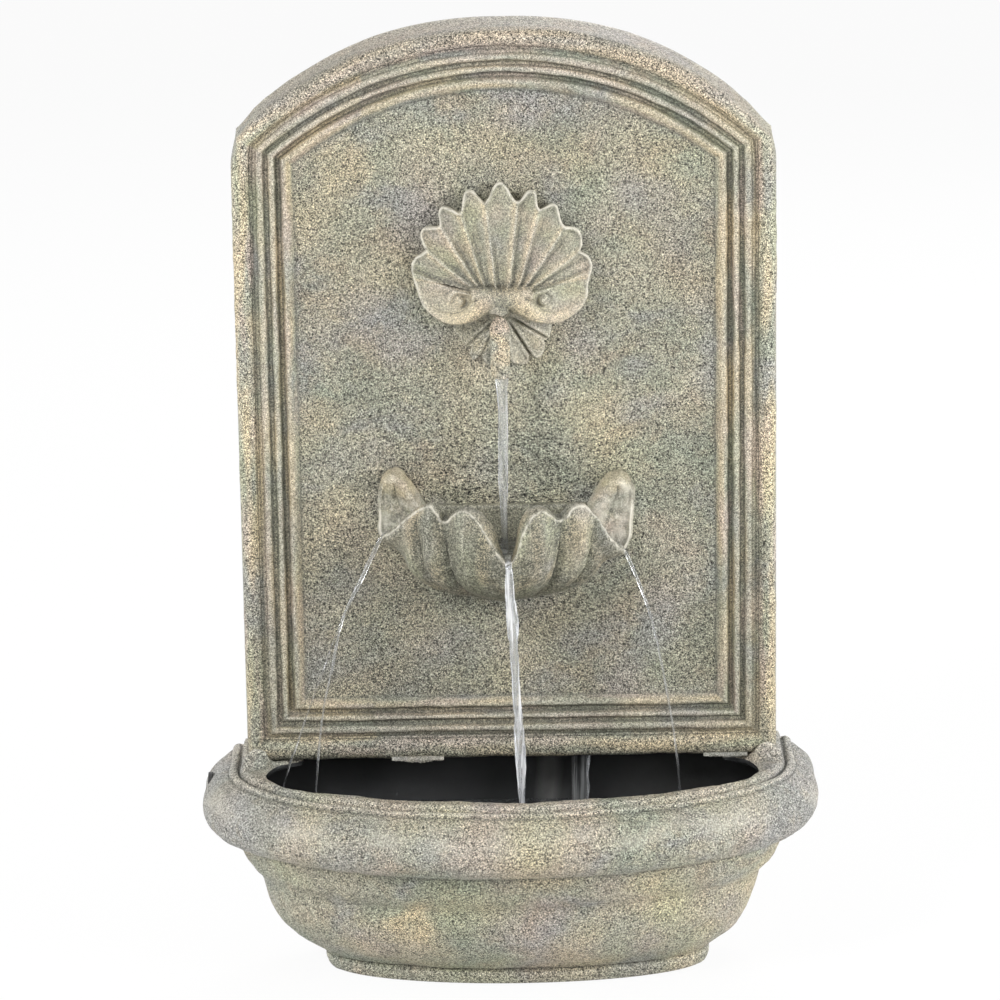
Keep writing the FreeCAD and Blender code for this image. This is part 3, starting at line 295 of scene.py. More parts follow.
def stone(name, grain=980.0, pits=0.92, sheen=0.42, wash=0.58, worn=0.34):
    """Cast resin painted as weathered stone: stippled, with washes in its recesses and pale high spots, and with the
    painted shade and painted highlights that each piece stores.
    """
    s = Shader(name)
    lumps = s.noise(grain, 1.0, 0.5, 0.9)
    across = s.noise(grain * 0.7, 1.5, 0.55, 0.5, s.stretch(0.6, 1.0, 1.3))
    lumps = s.math("ADD", lumps, s.math("MULTIPLY", s.value("scratch"), s.math("SUBTRACT", across, lumps)))
    winding = s.noise(grain * 0.55, 0.8, 0.5, 0.8)
    ridge = s.math("ABSOLUTE", s.math("SUBTRACT", winding, 0.5))
    stipple = s.math("ADD", s.math("MULTIPLY", lumps, 0.8), s.span(ridge, 0.0, 0.17, 0.18, 0.02))
    fine = s.noise(grain * 1.6, 0.5, 0.5, 0.4)
    broad = s.noise(11.0, 3.0, 0.6, 0.6)
    cool = s.noise(17.0, 3.0, 0.6, 0.4, s.stretch(1.0, 1.0, 1.4))
    brown = s.noise(21.0, 3.0, 0.6, 0.5, s.stretch(1.0, 1.0, 1.2))
    speck = s.noise(75.0, 3.0, 0.65)
    colour = s.mix(s.span(broad, 0.38, 0.62), (0.225, 0.243, 0.188), (0.312, 0.296, 0.226))
    colour = s.mix(s.span(cool, 0.50, 0.66, 0.0, 0.75), colour, (0.228, 0.230, 0.222))
    colour = s.mix(s.span(brown, 0.54, 0.68, 0.0, 0.7), colour, (0.300, 0.252, 0.180))
    colour = s.mix(s.value("moss"), colour, (0.318, 0.328, 0.212))
    colour = s.mix(s.value("ash"), colour, (0.256, 0.254, 0.246))
    colour = s.mix(s.span(speck, 0.54, 0.72, 0.0, 0.3), colour, (0.37, 0.31, 0.205))
    colour = s.mix(s.span(s.value("tint"), 0.0, 1.0, 0.0, 0.8), colour, (0.52, 0.415, 0.255))
    colour = s.mix(s.span(s.value("blush"), 0.0, 1.0, 0.0, 0.7), colour, (0.42, 0.325, 0.275))
    # painted shade and damp: the colour goes dark, in a speckled way, where a piece stores this
    speckled_shade = s.math("MULTIPLY", s.value("damp_and_shade"), s.span(stipple, 0.38, 0.64, 1.25, 0.55))
    colour = s.mix(speckled_shade, colour, (0.115, 0.114, 0.085))
    relief = s.value("relief")
    ragged = s.math("ADD", relief, s.span(stipple, 0.3, 0.7, -0.10, 0.10))
    colour = s.mix(s.span(ragged, 0.42, 0.10, 0.0, wash), colour, (0.085, 0.086, 0.070))
    colour = s.mix(s.span(ragged, 0.60, 0.95, 0.0, worn), colour, (0.60, 0.57, 0.48))
    light = s.span(stipple, 0.35, 0.65, 0.04, 2.08)
    light = s.math("MULTIPLY", light, s.span(fine, 0.3, 0.7, 0.36, 1.64))
    rough_part = s.span(s.value("calm"), 0.0, 1.0, pits, 0.58 * pits)
    rough_part = s.math("MULTIPLY", rough_part, s.span(s.value("scratch"), 0.0, 1.0, 1.0, 1.45))
    light = s.math("ADD", 1.0, s.math("MULTIPLY", rough_part, s.math("SUBTRACT", light, 1.0)))
    grey = s.add("ShaderNodeCombineColor")
    for socket in grey.inputs[:3]:
        s.join(light, socket)
    colour = s.mix(1.0, colour, grey.outputs[0], "MULTIPLY")
    # pale paint, and painted highlights where a piece stores them
    colour = s.mix(s.value("pale"), colour, (0.66, 0.63, 0.54))
    s.join(colour, s.surface.inputs["Base Color"])
    s.join(s.span(stipple, 0.3, 0.7, sheen + 0.25, sheen), s.surface.inputs["Roughness"])
    s.surface.inputs["Specular IOR Level"].default_value = 0.42
    s.join(s.bump(s.math("ADD", stipple, s.math("MULTIPLY", fine, 0.3)), 0.0011, pits), s.surface.inputs["Normal"])
    return s.material


def glossy_black():
    """The basin's inside: black and wet, with a faint uneven grey, and a painted reflection and painted light on its
    back wall.
    """
    s = Shader("wet_black")
    uneven = s.noise(12.0, 2.0, 0.5, 0.3)
    fine = s.noise(500.0, 2.0, 0.6)
    colour = s.mix(s.span(uneven, 0.35, 0.7), (0.022, 0.023, 0.023), (0.044, 0.045, 0.046))
    # painted reflection and painted light: a lighter grey where the basin stores it
    colour = s.mix(s.value("painted_wall_light"), colour, (0.16, 0.16, 0.155))
    s.join(colour, s.surface.inputs["Base Color"])
    s.join(s.span(uneven, 0.3, 0.7, 0.16, 0.24), s.surface.inputs["Roughness"])
    s.join(s.bump(fine, 0.0002, 0.5), s.surface.inputs["Normal"])
    return s.material


def plain(name, low, high, rough, scale=160.0, metal=0.0, bump=0.0002, stretch=(1, 1, 1), coat=0.0):
    """A plain moulded or metal surface with a fine uneven grain."""
    s = Shader(name)
    grain = s.noise(scale, 3.0, 0.6, 0.2, s.stretch(*stretch))
    fine = s.noise(scale * 6, 2.0, 0.6, 0.0, s.stretch(*stretch))
    s.join(s.mix(s.span(grain, 0.3, 0.7), low, high), s.surface.inputs["Base Color"])
    s.join(s.span(fine, 0.3, 0.7, rough - 0.06, rough + 0.08), s.surface.inputs["Roughness"])
    s.surface.inputs["Metallic"].default_value = metal
    s.surface.inputs["Coat Weight"].default_value = coat
    s.join(s.bump(s.math("ADD", grain, fine), bump, 0.6), s.surface.inputs["Normal"])
    return s.material


def water_material(name, milky):
    """Water: clear, with whiter strands along the fall where it carries air."""
    s = Shader(name)
    strand = s.noise(420.0, 2.0, 0.6, 0.4, s.stretch(1.0, 1.0, 0.06))
    ripple = s.noise(230.0, 2.0, 0.5, 0.3, s.stretch(1.0, 1.0, 0.3))
    s.join(s.mix(s.span(strand, 0.4, 0.62), (0.80, 0.82, 0.84), (0.97, 0.98, 1.0)), s.surface.inputs["Base Color"])
    s.join(s.span(strand, 0.42, 0.64, 1.0 - milky * 0.25, 1.0 - milky), s.surface.inputs["Transmission Weight"])
    s.surface.inputs["IOR"].default_value = 1.33
    s.surface.inputs["Roughness"].default_value = 0.02
    s.join(s.bump(ripple, 0.0008, 0.6), s.surface.inputs["Normal"])
    return s.material


stone_main = stone("cast_stone")
stone_fine = stone("cast_stone_fine", 980.0, 0.62, 0.38, 0.6, 0.3)
stone_bowl = stone("cast_stone_bowl", 820.0, 0.42, 0.36, 0.6, 0.3)
stone_smooth = stone("cast_stone_smooth", 860.0, 0.45, 0.30, 0.35, 0.2)
black_inside = glossy_black()
falling_water = water_material("falling_water", 0.50)
clear_water = water_material("clear_fall", 0.18)
thread_water = water_material("thread_fall", 0.08)
still_water = water_material("still_water", 0.02)


def hose_finish():
    """Black wet hose, with painted sheen in grey streaks where it stands in the basin."""
    s = Shader("black_hose")
    height = s.add("ShaderNodeSeparateXYZ")
    s.join(s.place, height.inputs[0])
    grain = s.noise(330.0, 2.0, 0.6, 0.2, s.stretch(1.0, 1.0, 0.06))
    # painted sheen: lighter grey streaks low on the hose, fading out by 185 mm up
    wet = s.span(height.outputs[2], 0.185, 0.150)
    sheen_streak = s.math("MULTIPLY", wet, s.span(grain, 0.38, 0.62, 0.15, 1.0))
    colour = s.mix(s.span(grain, 0.3, 0.7), (0.008, 0.008, 0.009), (0.020, 0.020, 0.022))
    s.join(s.mix(sheen_streak, colour, (0.150, 0.155, 0.155)), s.surface.inputs["Base Color"])
    s.surface.inputs["Roughness"].default_value = 0.16
    s.surface.inputs["Coat Weight"].default_value = 0.8
    s.surface.inputs["Coat Roughness"].default_value = 0.05
    s.join(s.bump(grain, 0.0002, 0.5), s.surface.inputs["Normal"])
    return s.material


finishes = {
    "hose": hose_finish(),
    "rubber_black": plain("black_rubber", (0.014, 0.014, 0.014), (0.035, 0.034, 0.033), 0.62, 300.0, bump=0.0003),
    "plastic_black": plain("black_plastic", (0.016, 0.017, 0.018), (0.036, 0.037, 0.039), 0.42, 420.0),
    "zinc_steel": plain("zinc_plate", (0.50, 0.51, 0.52), (0.68, 0.69, 0.70), 0.34, 120.0, 1.0, 0.0001, (1, 1, 6)),
    "core_steel": plain("core_steel", (0.26, 0.26, 0.27), (0.44, 0.44, 0.45), 0.40, 700.0, 1.0, 0.0003, (14, 1, 1)),
    "copper_winding": plain("copper_wire", (0.42, 0.15, 0.05), (0.72, 0.33, 0.14), 0.30, 600.0, 0.9, 0.0006, (1, 9, 1)),
    "epoxy": plain("potting_epoxy", (0.020, 0.021, 0.024), (0.045, 0.047, 0.052), 0.16, 60.0, coat=0.6),
    "ferrite": plain("ferrite", (0.060, 0.060, 0.064), (0.120, 0.120, 0.125), 0.48, 500.0, bump=0.0004),
    "ceramic": plain("ceramic", (0.70, 0.69, 0.65), (0.84, 0.83, 0.79), 0.22, 300.0, coat=0.4),
    "cast_stone": stone_fine,
}
for part in frame["record"]["subparts"]:
    carried = nodes_of[part["node"]]
    carried.data.materials.clear()
    carried.data.materials.append(finishes[part["material_slot"]])


# ---------------------------------------------------------------- arched panel

# the arch's outer edge: half its width, the height of its foot, and the centre's height and radius of its top
ARCH_HALF, ARCH_FOOT, ARCH_CENTRE, ARCH_RADIUS = 193.5, 156.0, 405.0, 287.0
FIELD_INSET = 43.5          # from that edge in to the field
FRONT_FACE = -37            # paint lies in front of this, in the scene's own y; behind it the casting is bare
ACROSS, UP = 150, 210       # points across the field and up it


def half_round(start, width, base, rise, steps):
    turns = np.linspace(0, math.pi, steps + 1)
    return [(start + width * (1 - math.cos(t)) / 2, base + rise * math.sin(t)) for t in turns]


# how far the arch's outer edge stands above a true arc, from left to right: the casting's shoulders are uneven
SHOULDER = ((-194, -1.5), (-190, -0.8), (-183, 1.3), (-173, 1.1), (-168, 0.3), (-162, -0.2), (-140, -0.1), (-120, 1.0),
            (-90, 1.9), (-60, 1.4), (0, 0.0), (60, 1.4), (90, 1.9), (120, 1.0), (140, -0.4), (150, -1.0), (158, -1.4),
            (165.5, -1.7), (172, -2.3), (179, -2.3), (184, -3.3), (187, -4.1), (190, -4.9), (193.5, -5.2))
LOW = 2.9    # how much wider the frame's outer roll is along the bottom


def arch_loop(inset, depth):
    """One turn round the arch, kept in step with the field's grid so that both share their edge."""
    half, base, radius = ARCH_HALF - inset, ARCH_FOOT + inset + LOW * smooth_step(3, 14, inset), ARCH_RADIUS - inset
    corner = ARCH_CENTRE + math.sqrt(radius ** 2 - half ** 2)
    xs = np.linspace(-half, half, ACROSS)
    zs = np.linspace(base, corner, UP)
    top = ARCH_CENTRE + np.sqrt(radius ** 2 - xs ** 2)
    flat = [(x, base) for x in xs] + [(half, z) for z in zs[1:]]
    flat += [(x, z) for x, z in zip(xs[::-1][1:], top[::-1][1:])]
    flat += [(-half, z) for z in zs[::-1][1:-1]]
    x, z = np.array(flat).T
    share = math.exp(-max(inset, 0.0) / 14.0)   # the outer edge's shoulders are pulled in and its crown is fuller
    rise = np.interp(x, *np.array(SHOULDER).T) * smooth_step(590, 617, z)
    pull = np.where(x < 0, 4.8, 3.8) * smooth_step(150, 190, np.abs(x)) * smooth_step(590, 622, z)
    return [(a, depth, b) for a, b in zip(x - np.sign(x) * pull * share, z + rise * share)]


def make_panel():
    """The arched panel: rolled and beaded frame, sunken field, hollow back."""
    profile = [(7.0, 36.0), (7.0, 18.0), (7.0, 0.3), (5.0, 0.0), (-2.0, 0.0), (-2.5, 0.4), (-2.3, 6.0)]
    profile += [(-2.5 + 2.5 * d / 34, d) for d in (12, 20, 28, 34)]
    profile += [(0.0, 38.0), (0.1, 40.5)]
    profile += half_round(0.2, 13.0, 43.0, 6.8, 16)[1:-1]
    profile += [(13.3, 44.4), (13.9, 44.0), (14.8, 44.0), (15.6, 44.8), (16.4, 45.4), (17.2, 45.4)]
    profile += half_round(17.4, 5.0, 45.4, 2.4, 8)[1:]
    profile += [(22.7, 44.2), (23.3, 43.6), (24.2, 43.5), (25.1, 43.7), (25.8, 43.5), (26.3, 43.9)]
    profile += half_round(26.6, 3.9, 44.6, 1.9, 6)[1:]
    profile += [(30.9, 43.4), (31.3, 41.8), (31.9, 41.1), (32.7, 41.2), (33.4, 41.3), (34.1, 41.1), (34.6, 41.4),
                (35.1, 42.5), (35.8, 45.0), (36.8, 46.3), (38.4, 46.7), (40.2, 46.0), (42.0, 44.6), (43.0, 43.6),
                (FIELD_INSET, FIELD)]
    points = []
    for inset, depth in profile:
        points += arch_loop(inset, depth)
    ring = 2 * ACROSS + 2 * UP - 4
    faces = grid_faces(len(profile), ring, True)
    faces.append(list(range(ring)))
    # the field: its outer row and columns are the last loop's points
    last = (len(profile) - 1) * ring
    index = np.zeros((ACROSS, UP), int)
    index[:, 0] = last + np.arange(ACROSS)
    index[-1, :] = last + ACROSS - 1 + np.arange(UP)
    index[::-1, -1] = last + ACROSS + UP - 2 + np.arange(ACROSS)
    index[0, 1:-1] = last + ring - 1 - np.arange(UP - 2)
    xs = np.linspace(FIELD_INSET - ARCH_HALF, ARCH_HALF - FIELD_INSET, ACROSS)
    for i in range(1, ACROSS - 1):
        top = ARCH_CENTRE + math.sqrt((ARCH_RADIUS - FIELD_INSET) ** 2 - xs[i] ** 2)
        zs = np.linspace(ARCH_FOOT + FIELD_INSET + LOW, top, UP)
        for j in range(1, UP - 1):
            index[i, j] = len(points)
            points.append((xs[i], FIELD, zs[j]))
    for i in range(ACROSS - 1):
        for j in range(UP - 1):
            faces.append((index[i, j], index[i + 1, j], index[i + 1, j + 1], index[i, j + 1]))
    panel = add_piece("panel_skin", points, faces, 75)
    mark_relief(panel, 2.6)
    keep = lambda p: smooth_step(-36, -39, p[:, 1])
    roughen(panel, ((0.55, 42.0), (0.35, 13.0), (0.22, 5.0)), 3, keep)
    place = millimetres(panel)
    x, y, z = place.T
    front = y < FRONT_FACE
    # paint runs along the mouldings: each line has its own warm and cool stretches
    reach = ARCH_RADIUS - np.hypot(x, z - ARCH_CENTRE)
    from_side = ARCH_HALF - np.abs(x)
    inset = np.minimum(np.minimum(from_side, z - ARCH_FOOT - LOW * smooth_step(160, 172, z)),
                       np.where(z > 560, reach, 1e3))
    along = np.where(inset == from_side, z, x + 900.0)
    lines = np.column_stack([inset * 9.0, along, np.sign(x) * 300.0 * (along < 800)])
    frame_part = smooth_step(46, 40, inset) * front
    warm, rosy = bumps(lines, 62.0, 11), bumps(lines, 55.0, 15)
    field_warm = (0.42 * bumps(place, 48.0, 17) + 0.03) * (1 - frame_part)
    sides = smooth_step(145, 160, np.abs(x))
    inner_line = hump(inset - 39.5, 2.6)
    lines_warm = frame_part * (0.95 * warm + 0.10 + 0.12 * sides + 0.20 * inner_line)
    # painted shade over the arch's crown, with browner paint there
    crown = smooth_step(608, 655, z) * smooth_step(14, 8, inset)
    outer_groove, inner_groove = hump(inset - 16.2, 1.3), hump(inset - 24.5, 1.7)
    lines_warm *= 1 - 0.6 * inner_groove
    store(panel, "tint", np.clip(lines_warm + field_warm + 0.15 * crown, 0, 0.9) * front)
    blush = np.clip(frame_part * (rosy - 0.05) + 0.35 * bumps(place, 45.0, 19), 0, 0.8)
    store(panel, "blush", blush * front * (1 - 0.5 * crown) + 0.5 * crown)
    # painted shade: darker below about 430 mm up, more so on the left
    shade = smooth_step(430, 230, z) * 0.20 * smooth_step(60, -60, x) + smooth_step(430, 230, z) * 0.10
    # painted shadow under the bowl
    under = hump(x + 6, 80, z - 282, 17) * 0.34
    around = hump(x + 20, 90, z - 372, 26)
    patches = bumps(place * (1.0, 1.0, 2.2), 34.0, 27)
    # painted shade in the frame's recessed inner part and along its grooves
    deep = 0.10 * ((y > -42.3) & front & (inset > 28))
    true_arc = 1 - smooth_step(120, 150, x) * smooth_step(560, 600, z)
    groove = inner_groove * frame_part * true_arc
    deep = deep + (0.42 + 0.35 * bumps(lines, 40.0, 39)) * groove + 0.14 * outer_groove * frame_part
    # painted shade on the outer side of the arch's top
    outer = 0.26 * smooth_step(3.4, 1.0, inset) * smooth_step(560, 640, z)
    # painted shade along the frame's bottom rail and its underside
    low = (0.17 * smooth_step(204, 180, z) + 0.26 * smooth_step(168, 159, z)) * frame_part
    dark = shade + under + 0.12 * bumps(place, 50.0, 23) + deep + low + outer + around * (0.14 + 0.38 * patches)
    dark += 0.33 * crown
    # the field painted darker than the frame, more so low down
    dark += (0.25 + 0.09 * smooth_step(330, 230, z)) * (1 - frame_part)
    # painted shadow round the spout's lower end
    dark += 0.6 * hump(np.abs(x + 4.5) - 7.6, 2.0) * smooth_step(443, 450, z) * smooth_step(478, 464, z)
    store(panel, "damp_and_shade", np.clip(dark, 0, 0.85) * front + 0.22 * crown * (y >= FRONT_FACE))
    mossy = bumps(lines, 70.0, 33)
    moss = np.clip(frame_part * (0.6 * mossy + 0.04) + 0.30 * bumps(place, 55.0, 35), 0, 0.6)
    store(panel, "moss", moss * front * (1 - 0.8 * crown))
    lift = 1 - frame_part       # the field
    store(panel, "ash", np.clip(0.9 * bumps(place, 38.0, 37) - 0.05, 0, 0.7) * lift * front)
    scratched = hump(x, 125, z - 352, 62) * lift * 0.75 + lift * 0.2 * bumps(place, 40.0, 29)
    store(panel, "scratch", np.clip(scratched, 0, 1))
    store(panel, "calm", np.clip(smooth_step(12.6, 14.5, inset) * smooth_step(45, 43, inset), 0, 1))
    return panel


HANGER_HEIGHT = 590.0


def make_boss(name, middle):
    """The block behind the panel that carries a keyhole plate, with room inside for the screw's head."""
    turns = 48

    def ring(wide, high, round_off, depth):
        out = []
        for step in range(turns):
            turn = 2 * math.pi * (step + 0.5) / turns
            c, s = math.cos(turn), math.sin(turn)
            power = 2 / round_off
            out.append((middle + wide * math.copysign(abs(c) ** power, c), depth,
                        HANGER_HEIGHT + high * math.copysign(abs(s) ** power, s)))
        return out

    # half width, half height, squareness and depth of each ring: down the outside, then into the screw's room
    sections = ((27.0, 19.0, 6, 37.0), (25.4, 17.4, 6, 35.4), (24.2, 16.2, 7, 33.0), (23.4, 15.4, 8, 12.0),
                (23.2, 15.2, 8, 6.4), (22.6, 14.6, 8, 5.2), (21.6, 13.6, 8, 5.0), (9.0, 12.0, 6, 5.0),
                (8.4, 11.4, 6, 5.4), (8.2, 11.2, 6, 12.0), (7.6, 10.6, 5, 21.0), (5.0, 8.0, 4, 22.0))
    points = []
    for section in sections:
        points += ring(*section)
    faces = grid_faces(len(sections), turns, True) + caps(len(sections), turns)
    boss = add_piece(name, points, faces, 40)
    mark_relief(boss, 1.5, 1)
    return finish_piece(boss, stone_smooth, "cast_stone")


finish_piece(make_panel(), stone_main, "cast_stone", "wall_panel")
make_boss("hanger_boss_left", -120.0)
make_boss("hanger_boss_right", 120.0)


# ---------------------------------------------------------------- basin

BASIN_HALF = 221.0              # half the basin's width at its widest line
OVAL_START, OVAL_LESS = 50, 88.0  # depth where the oval front begins, and how much shorter it is than half the width
SIDE, FRONT, REAR = 14, 300, 60   # points along each straight side, the front and the back


def basin_loop(inset, height, back, rear=None):
    """One turn round the basin at an inset from its widest line: straight sides and an elliptic front."""
    half = BASIN_HALF - inset
    reach = half - OVAL_LESS
    # the casting is a little lopsided
    lean = np.interp(height, (0, 12, 26, 45, 118, 142), (2.6, 2.6, 0.4, -2.2, -2.4, 0.0))
    turns = np.linspace(0, math.pi, FRONT)
    loop = [(-half, d, height) for d in np.linspace(back, OVAL_START, SIDE)[:-1]]
    loop += [(-half * math.cos(t), OVAL_START + reach * math.sin(t), height) for t in turns]
    loop += [(half, d, height) for d in np.linspace(OVAL_START, back, SIDE)[1:]]
    loop += [(x, *(rear or (back, height))) for x in np.linspace(half, -half, REAR)[1:-1]]
    x, d, z = np.array(loop).T
    upper = smooth_step(143, 149, height)
    side = np.abs(x)
    # the opening has full front corners and rounded rear ones, and the lip swells in a lobe before the panel's corners
    inner = smooth_step(24, 33.8, inset) * upper
    full = hump(side - 168, np.where(side < 168, 24.0, 11.0))
    d = d + np.where(x < 0, 8.5, 10.0) * full * smooth_step(60, 78, d) * inner
    narrow = np.interp(d, (36, 41.7, 45.7, 49, 58.5, 70, 80), (0.83, 0.878, 0.916, 0.932, 0.955, 0.984, 1))
    x = x * (1 - inner * (1 - narrow))
    lobe_share = np.interp(inset, (23, 27.5, 31, 33, 35), (0, 1, 1, 0.45, 0))
    lobe = hump(d - 54.5, 5.5) * smooth_step(60, 140, side) * lobe_share
    ends = np.interp(inset, (6, 13, 18, 24, 30), (0, 2.0, 3.6, 6.0, 3.0)) * smooth_step(44, 6, d)
    z = z + (13.0 * lobe * smooth_step(62, 54, d) + ends * smooth_step(180, 196, np.abs(x))) * upper
    return list(zip(x + lean, d, z))


def make_basin():
    """The basin: foot, curved wall, bead, notch, big rim roll, inner ridges, lip and black inside."""
    foot = [(92, 0), (84.4, 0), (82.4, 1.2), (80.8, 4), (79.8, 7), (79.4, 9.6), (80.2, 10.9), (81.6, 12.4)]
    wall = spline([(79.8, 13.2), (72.0, 18.6), (60.5, 26.7), (54.2, 33.5), (49.0, 40.5), (45.2, 48), (42.6, 55),
                   (40.4, 63), (38.9, 69.5)], 4).tolist()
    bead = spline([(37.6, 72.4), (34.4, 76.0), (30.0, 80.6), (26.4, 86.0), (23.6, 92.0), (21.6, 97.2), (20.8, 100.4)],
                  4).tolist()
    turns = np.radians(np.linspace(-80, 62, 26))
    roll = [(19.9, 101.9)]
    for t in turns:
        low = t < 0
        bend = (1 - math.cos(t)) / (1 - math.cos(turns[0] if low else turns[-1]))
        inset = -4.0 + (22.4 * bend ** 1.12 if low else 16.6 * bend)
        rise = (23.6 if low else 21.4) * math.sin(t) / abs(math.sin(turns[0] if low else turns[-1]))
        roll.append((inset, 127 + rise))
    ridge = [(13.4, 148.3), (14.0, 149.6)] + half_round(14.2, 5.6, 150.0, 1.9, 6)[1:-1]
    ridge += [(20.2, 149.5), (21.0, 148.9), (21.8, 149.6), (22.4, 151.6), (23.4, 153.4), (25.0, 154.3)]
    lip = [(26.5, 154.7), (28.0, 154.9), (29.7, 155.0), (31.5, 155.0), (32.7, 154.9), (33.8, 154.6), (35.2, 153.6),
           (35.8, 152.2)]
    inside = [(36.0, 149.5), (35.8, 146.5), (33.0, 144.6), (22.0, 143.8), (12.6, 140.0), (8.4, 134.0), (9.0, 124.0),
              (14.0, 114.0), (27.0, 104.0), (40.0, 92.0), (47.0, 78.0), (51.0, 64.0), (57.0, 50.0), (66.0, 36.0),
              (80.0, 24.0), (96.0, 14.5), (106.0, 10.5), (112.0, 10.0)]
    lower, upper = foot + wall + bead + roll, ridge + lip
    points, ring = [], 2 * (SIDE - 1) + FRONT + REAR - 2
    for inset, height in lower:
        points += basin_loop(inset, height, 0.0)
    # above the roll the back edge steps in from the wall, where the panel stands
    for step, (inset, height) in enumerate(upper, 1):
        points += basin_loop(inset, height, 0.0, (6.0 * step / len(upper), 148.4 + 6.4 * step / len(upper)))
    for inset, height in inside:
        points += basin_loop(inset, height, 8.0)
    rows = len(lower + upper + inside)
    faces = grid_faces(rows, ring, True) + caps(rows, ring)
    marks = np.repeat([0.0] * len(lower + upper) + [1.0] * len(inside), ring)
    basin = add_piece("basin_skin", points, faces, 60, marks=marks)
    mesh = basin.data
    place = millimetres(basin)
    mark_relief(basin, 3.0)
    keep = lambda p: smooth_step(-0.5, -4, p[:, 1]) * smooth_step(0.0, 2.0, p[:, 2])
    roughen(basin, ((0.7, 46.0), (0.4, 14.0), (0.22, 5.0)), 31, keep)
    x, y, z = place.T
    ends = smooth_step(150, 205, np.abs(x)) * smooth_step(100, 112, z)
    drift = bumps(place, 44.0, 41)
    ochre = hump(x + 78, 30, z - 62, 19) * (0.45 + 0.6 * bumps(place, 15.0, 60))
    ochre = ochre + 0.4 * hump(x - 40, 40, z - 149, 5)
    store(basin, "tint", np.clip(0.55 * drift + ochre, 0, 0.8) * (1 - 0.8 * ends))
    blush = np.clip(0.5 * bumps(place, 36.0, 47) + 0.3 * smooth_step(146, 152, z), 0, 0.6)
    store(basin, "blush", blush * (1 - 0.6 * ends))
    green = 0.5 * hump(x - 105, 34, z - 62, 16)
    store(basin, "moss", np.clip(0.5 * bumps(place, 40.0, 49) + green + 0.05, 0, 0.7) * (1 - ends))
    store(basin, "ash", np.clip(0.8 * ends + 0.5 * bumps(place, 42.0, 55), 0, 0.85))
    shade = 0.20 * smooth_step(30, 2, z) + 0.18 * bumps(place, 48.0, 53) + 0.06 * smooth_step(60, 20, z) + 0.08 * ends
    # painted shade along the notch under the roll and in the groove before the lip
    notch = 0.62 * hump(z - 101.6, 1.5) * (0.75 + 0.5 * bumps(place, 5.0, 57))
    grooves = 0.25 * hump(z - 148.6, 1.0) * (1 - ends)
    store(basin, "damp_and_shade", np.clip(shade + notch + grooves, 0, 0.8))
    # painted highlight along the roll's upper front, where it faces the light
    glow = hump(z - 134, 9) * (0.10 + 0.22 * bumps(place * (1, 1, 2), 30.0, 59)) * (y < -60)
    store(basin, "pale", np.clip(glow, 0, 0.4))
    # painted reflection: a lighter band on the back wall beside the hose, and painted light towards its right end
    store(basin, "painted_wall_light", np.clip(hump(x - 28, 7) + 0.22 * smooth_step(50, 120, x), 0, 1) * (y > -30))
    mesh.materials.append(stone_main)
    mesh.materials.append(black_inside)
    inner = stored(basin, "mark")
    for polygon in mesh.polygons:
        share = sum(inner[i] for i in polygon.vertices) / len(polygon.vertices)
        behind = polygon.center[1] > -0.0079 and polygon.center[2] > 0.149
        polygon.material_index = 1 if share >= 0.5 and not behind else 0
    return basin


basin = make_basin()
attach(basin, "fountain")
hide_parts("basin")


# ---------------------------------------------------------------- shell rosette

# outline of the shell as (angle from straight up to the right, reach) about ROSETTE, tips and hollows in turn
SHELL_EDGE = ((-180, 13.5), (-160, 12), (-147, 14), (-138.6, 17.5), (-130.3, 27), (-120.3, 39.8), (-108.5, 49.9),
              (-96.7, 56.5), (-83.7, 61.2), (-78, 64.3), (-71.1, 67.6), (-66, 67.2), (-61.5, 64.4), (-58, 63.2),
              (-56, 66.5), (-53.4, 71.2), (-49.5, 73.9), (-46.5, 72), (-43, 68.2), (-40, 67.6), (-38.4, 69.8),
              (-36.5, 74.4), (-32.8, 76.4), (-29.6, 72), (-26.6, 67.4), (-24.5, 67.6), (-22.5, 71), (-20, 76.5),
              (-17.4, 79), (-14.4, 77.6), (-11.8, 71.5), (-9.4, 68.6), (-6.8, 70.6), (-3.6, 77.6), (-1.5, 80.6),
              (0.8, 80.8), (3.4, 77.6), (6.6, 71.4), (9.8, 68.8), (12.2, 70.8), (14.4, 76.2), (17, 78.4), (19.4, 76.4),
              (21.6, 70.8), (23.8, 68), (26.4, 70.2), (29.4, 74.4), (32.6, 74.8), (36.6, 70.4), (39.8, 67.8),
              (43.2, 67.2), (46.6, 69.8), (50.6, 71.6), (54, 70.8), (57.4, 68.4), (60.6, 64.6), (63.4, 65.4),
              (67.6, 67.8), (72.4, 67.6), (79, 63.8), (84, 61.6), (91, 60.8), (100, 57.6), (110, 50.4), (119.6, 41.6),
              (129, 29.6), (138, 18.6), (149, 14), (164, 12), (180, 13.5))
# ridges between the flutes: (angle at the edge, where they end above the bar as across and height from ROSETTE)
SHELL_RIDGES = ((-77, -24, 4.5), (-58, -19.5, 4.5), (-40.5, -15.5, 5), (-25.6, -11.5, 5.5), (-9.4, -4.6, 6),
                (9.8, 5.4, 6), (23.8, 11.5, 5.5), (42.6, 16, 5), (60.8, 21, 4.5), (80, 26, 4.5))
# the scroll's roll on the left: across and height from ROSETTE, radius, depth of its middle
SCROLL = ((-61.4, 9.5, 1.3, 55.5), (-60.2, 3, 1.7, 56), (-54.4, -6.8, 2.3, 57), (-45.6, -13.9, 3, 58),
          (-34.6, -17.4, 3.9, 59), (-23.6, -14.6, 4.9, 60.5), (-15.4, -7.6, 5.9, 62), (-8, -2.6, 6.5, 63.6),
          (0, -1.2, 6.4, 64))
EYE = (-29.2, -3.7)             # the middle of the left scroll's eye
# the seam between the fan and the side lobes: height by distance from the middle
SEAM = ((0, 24, 29, 39, 60.6, 70), (2.8, 2.8, 3.8, 7.4, 16.6, 20))


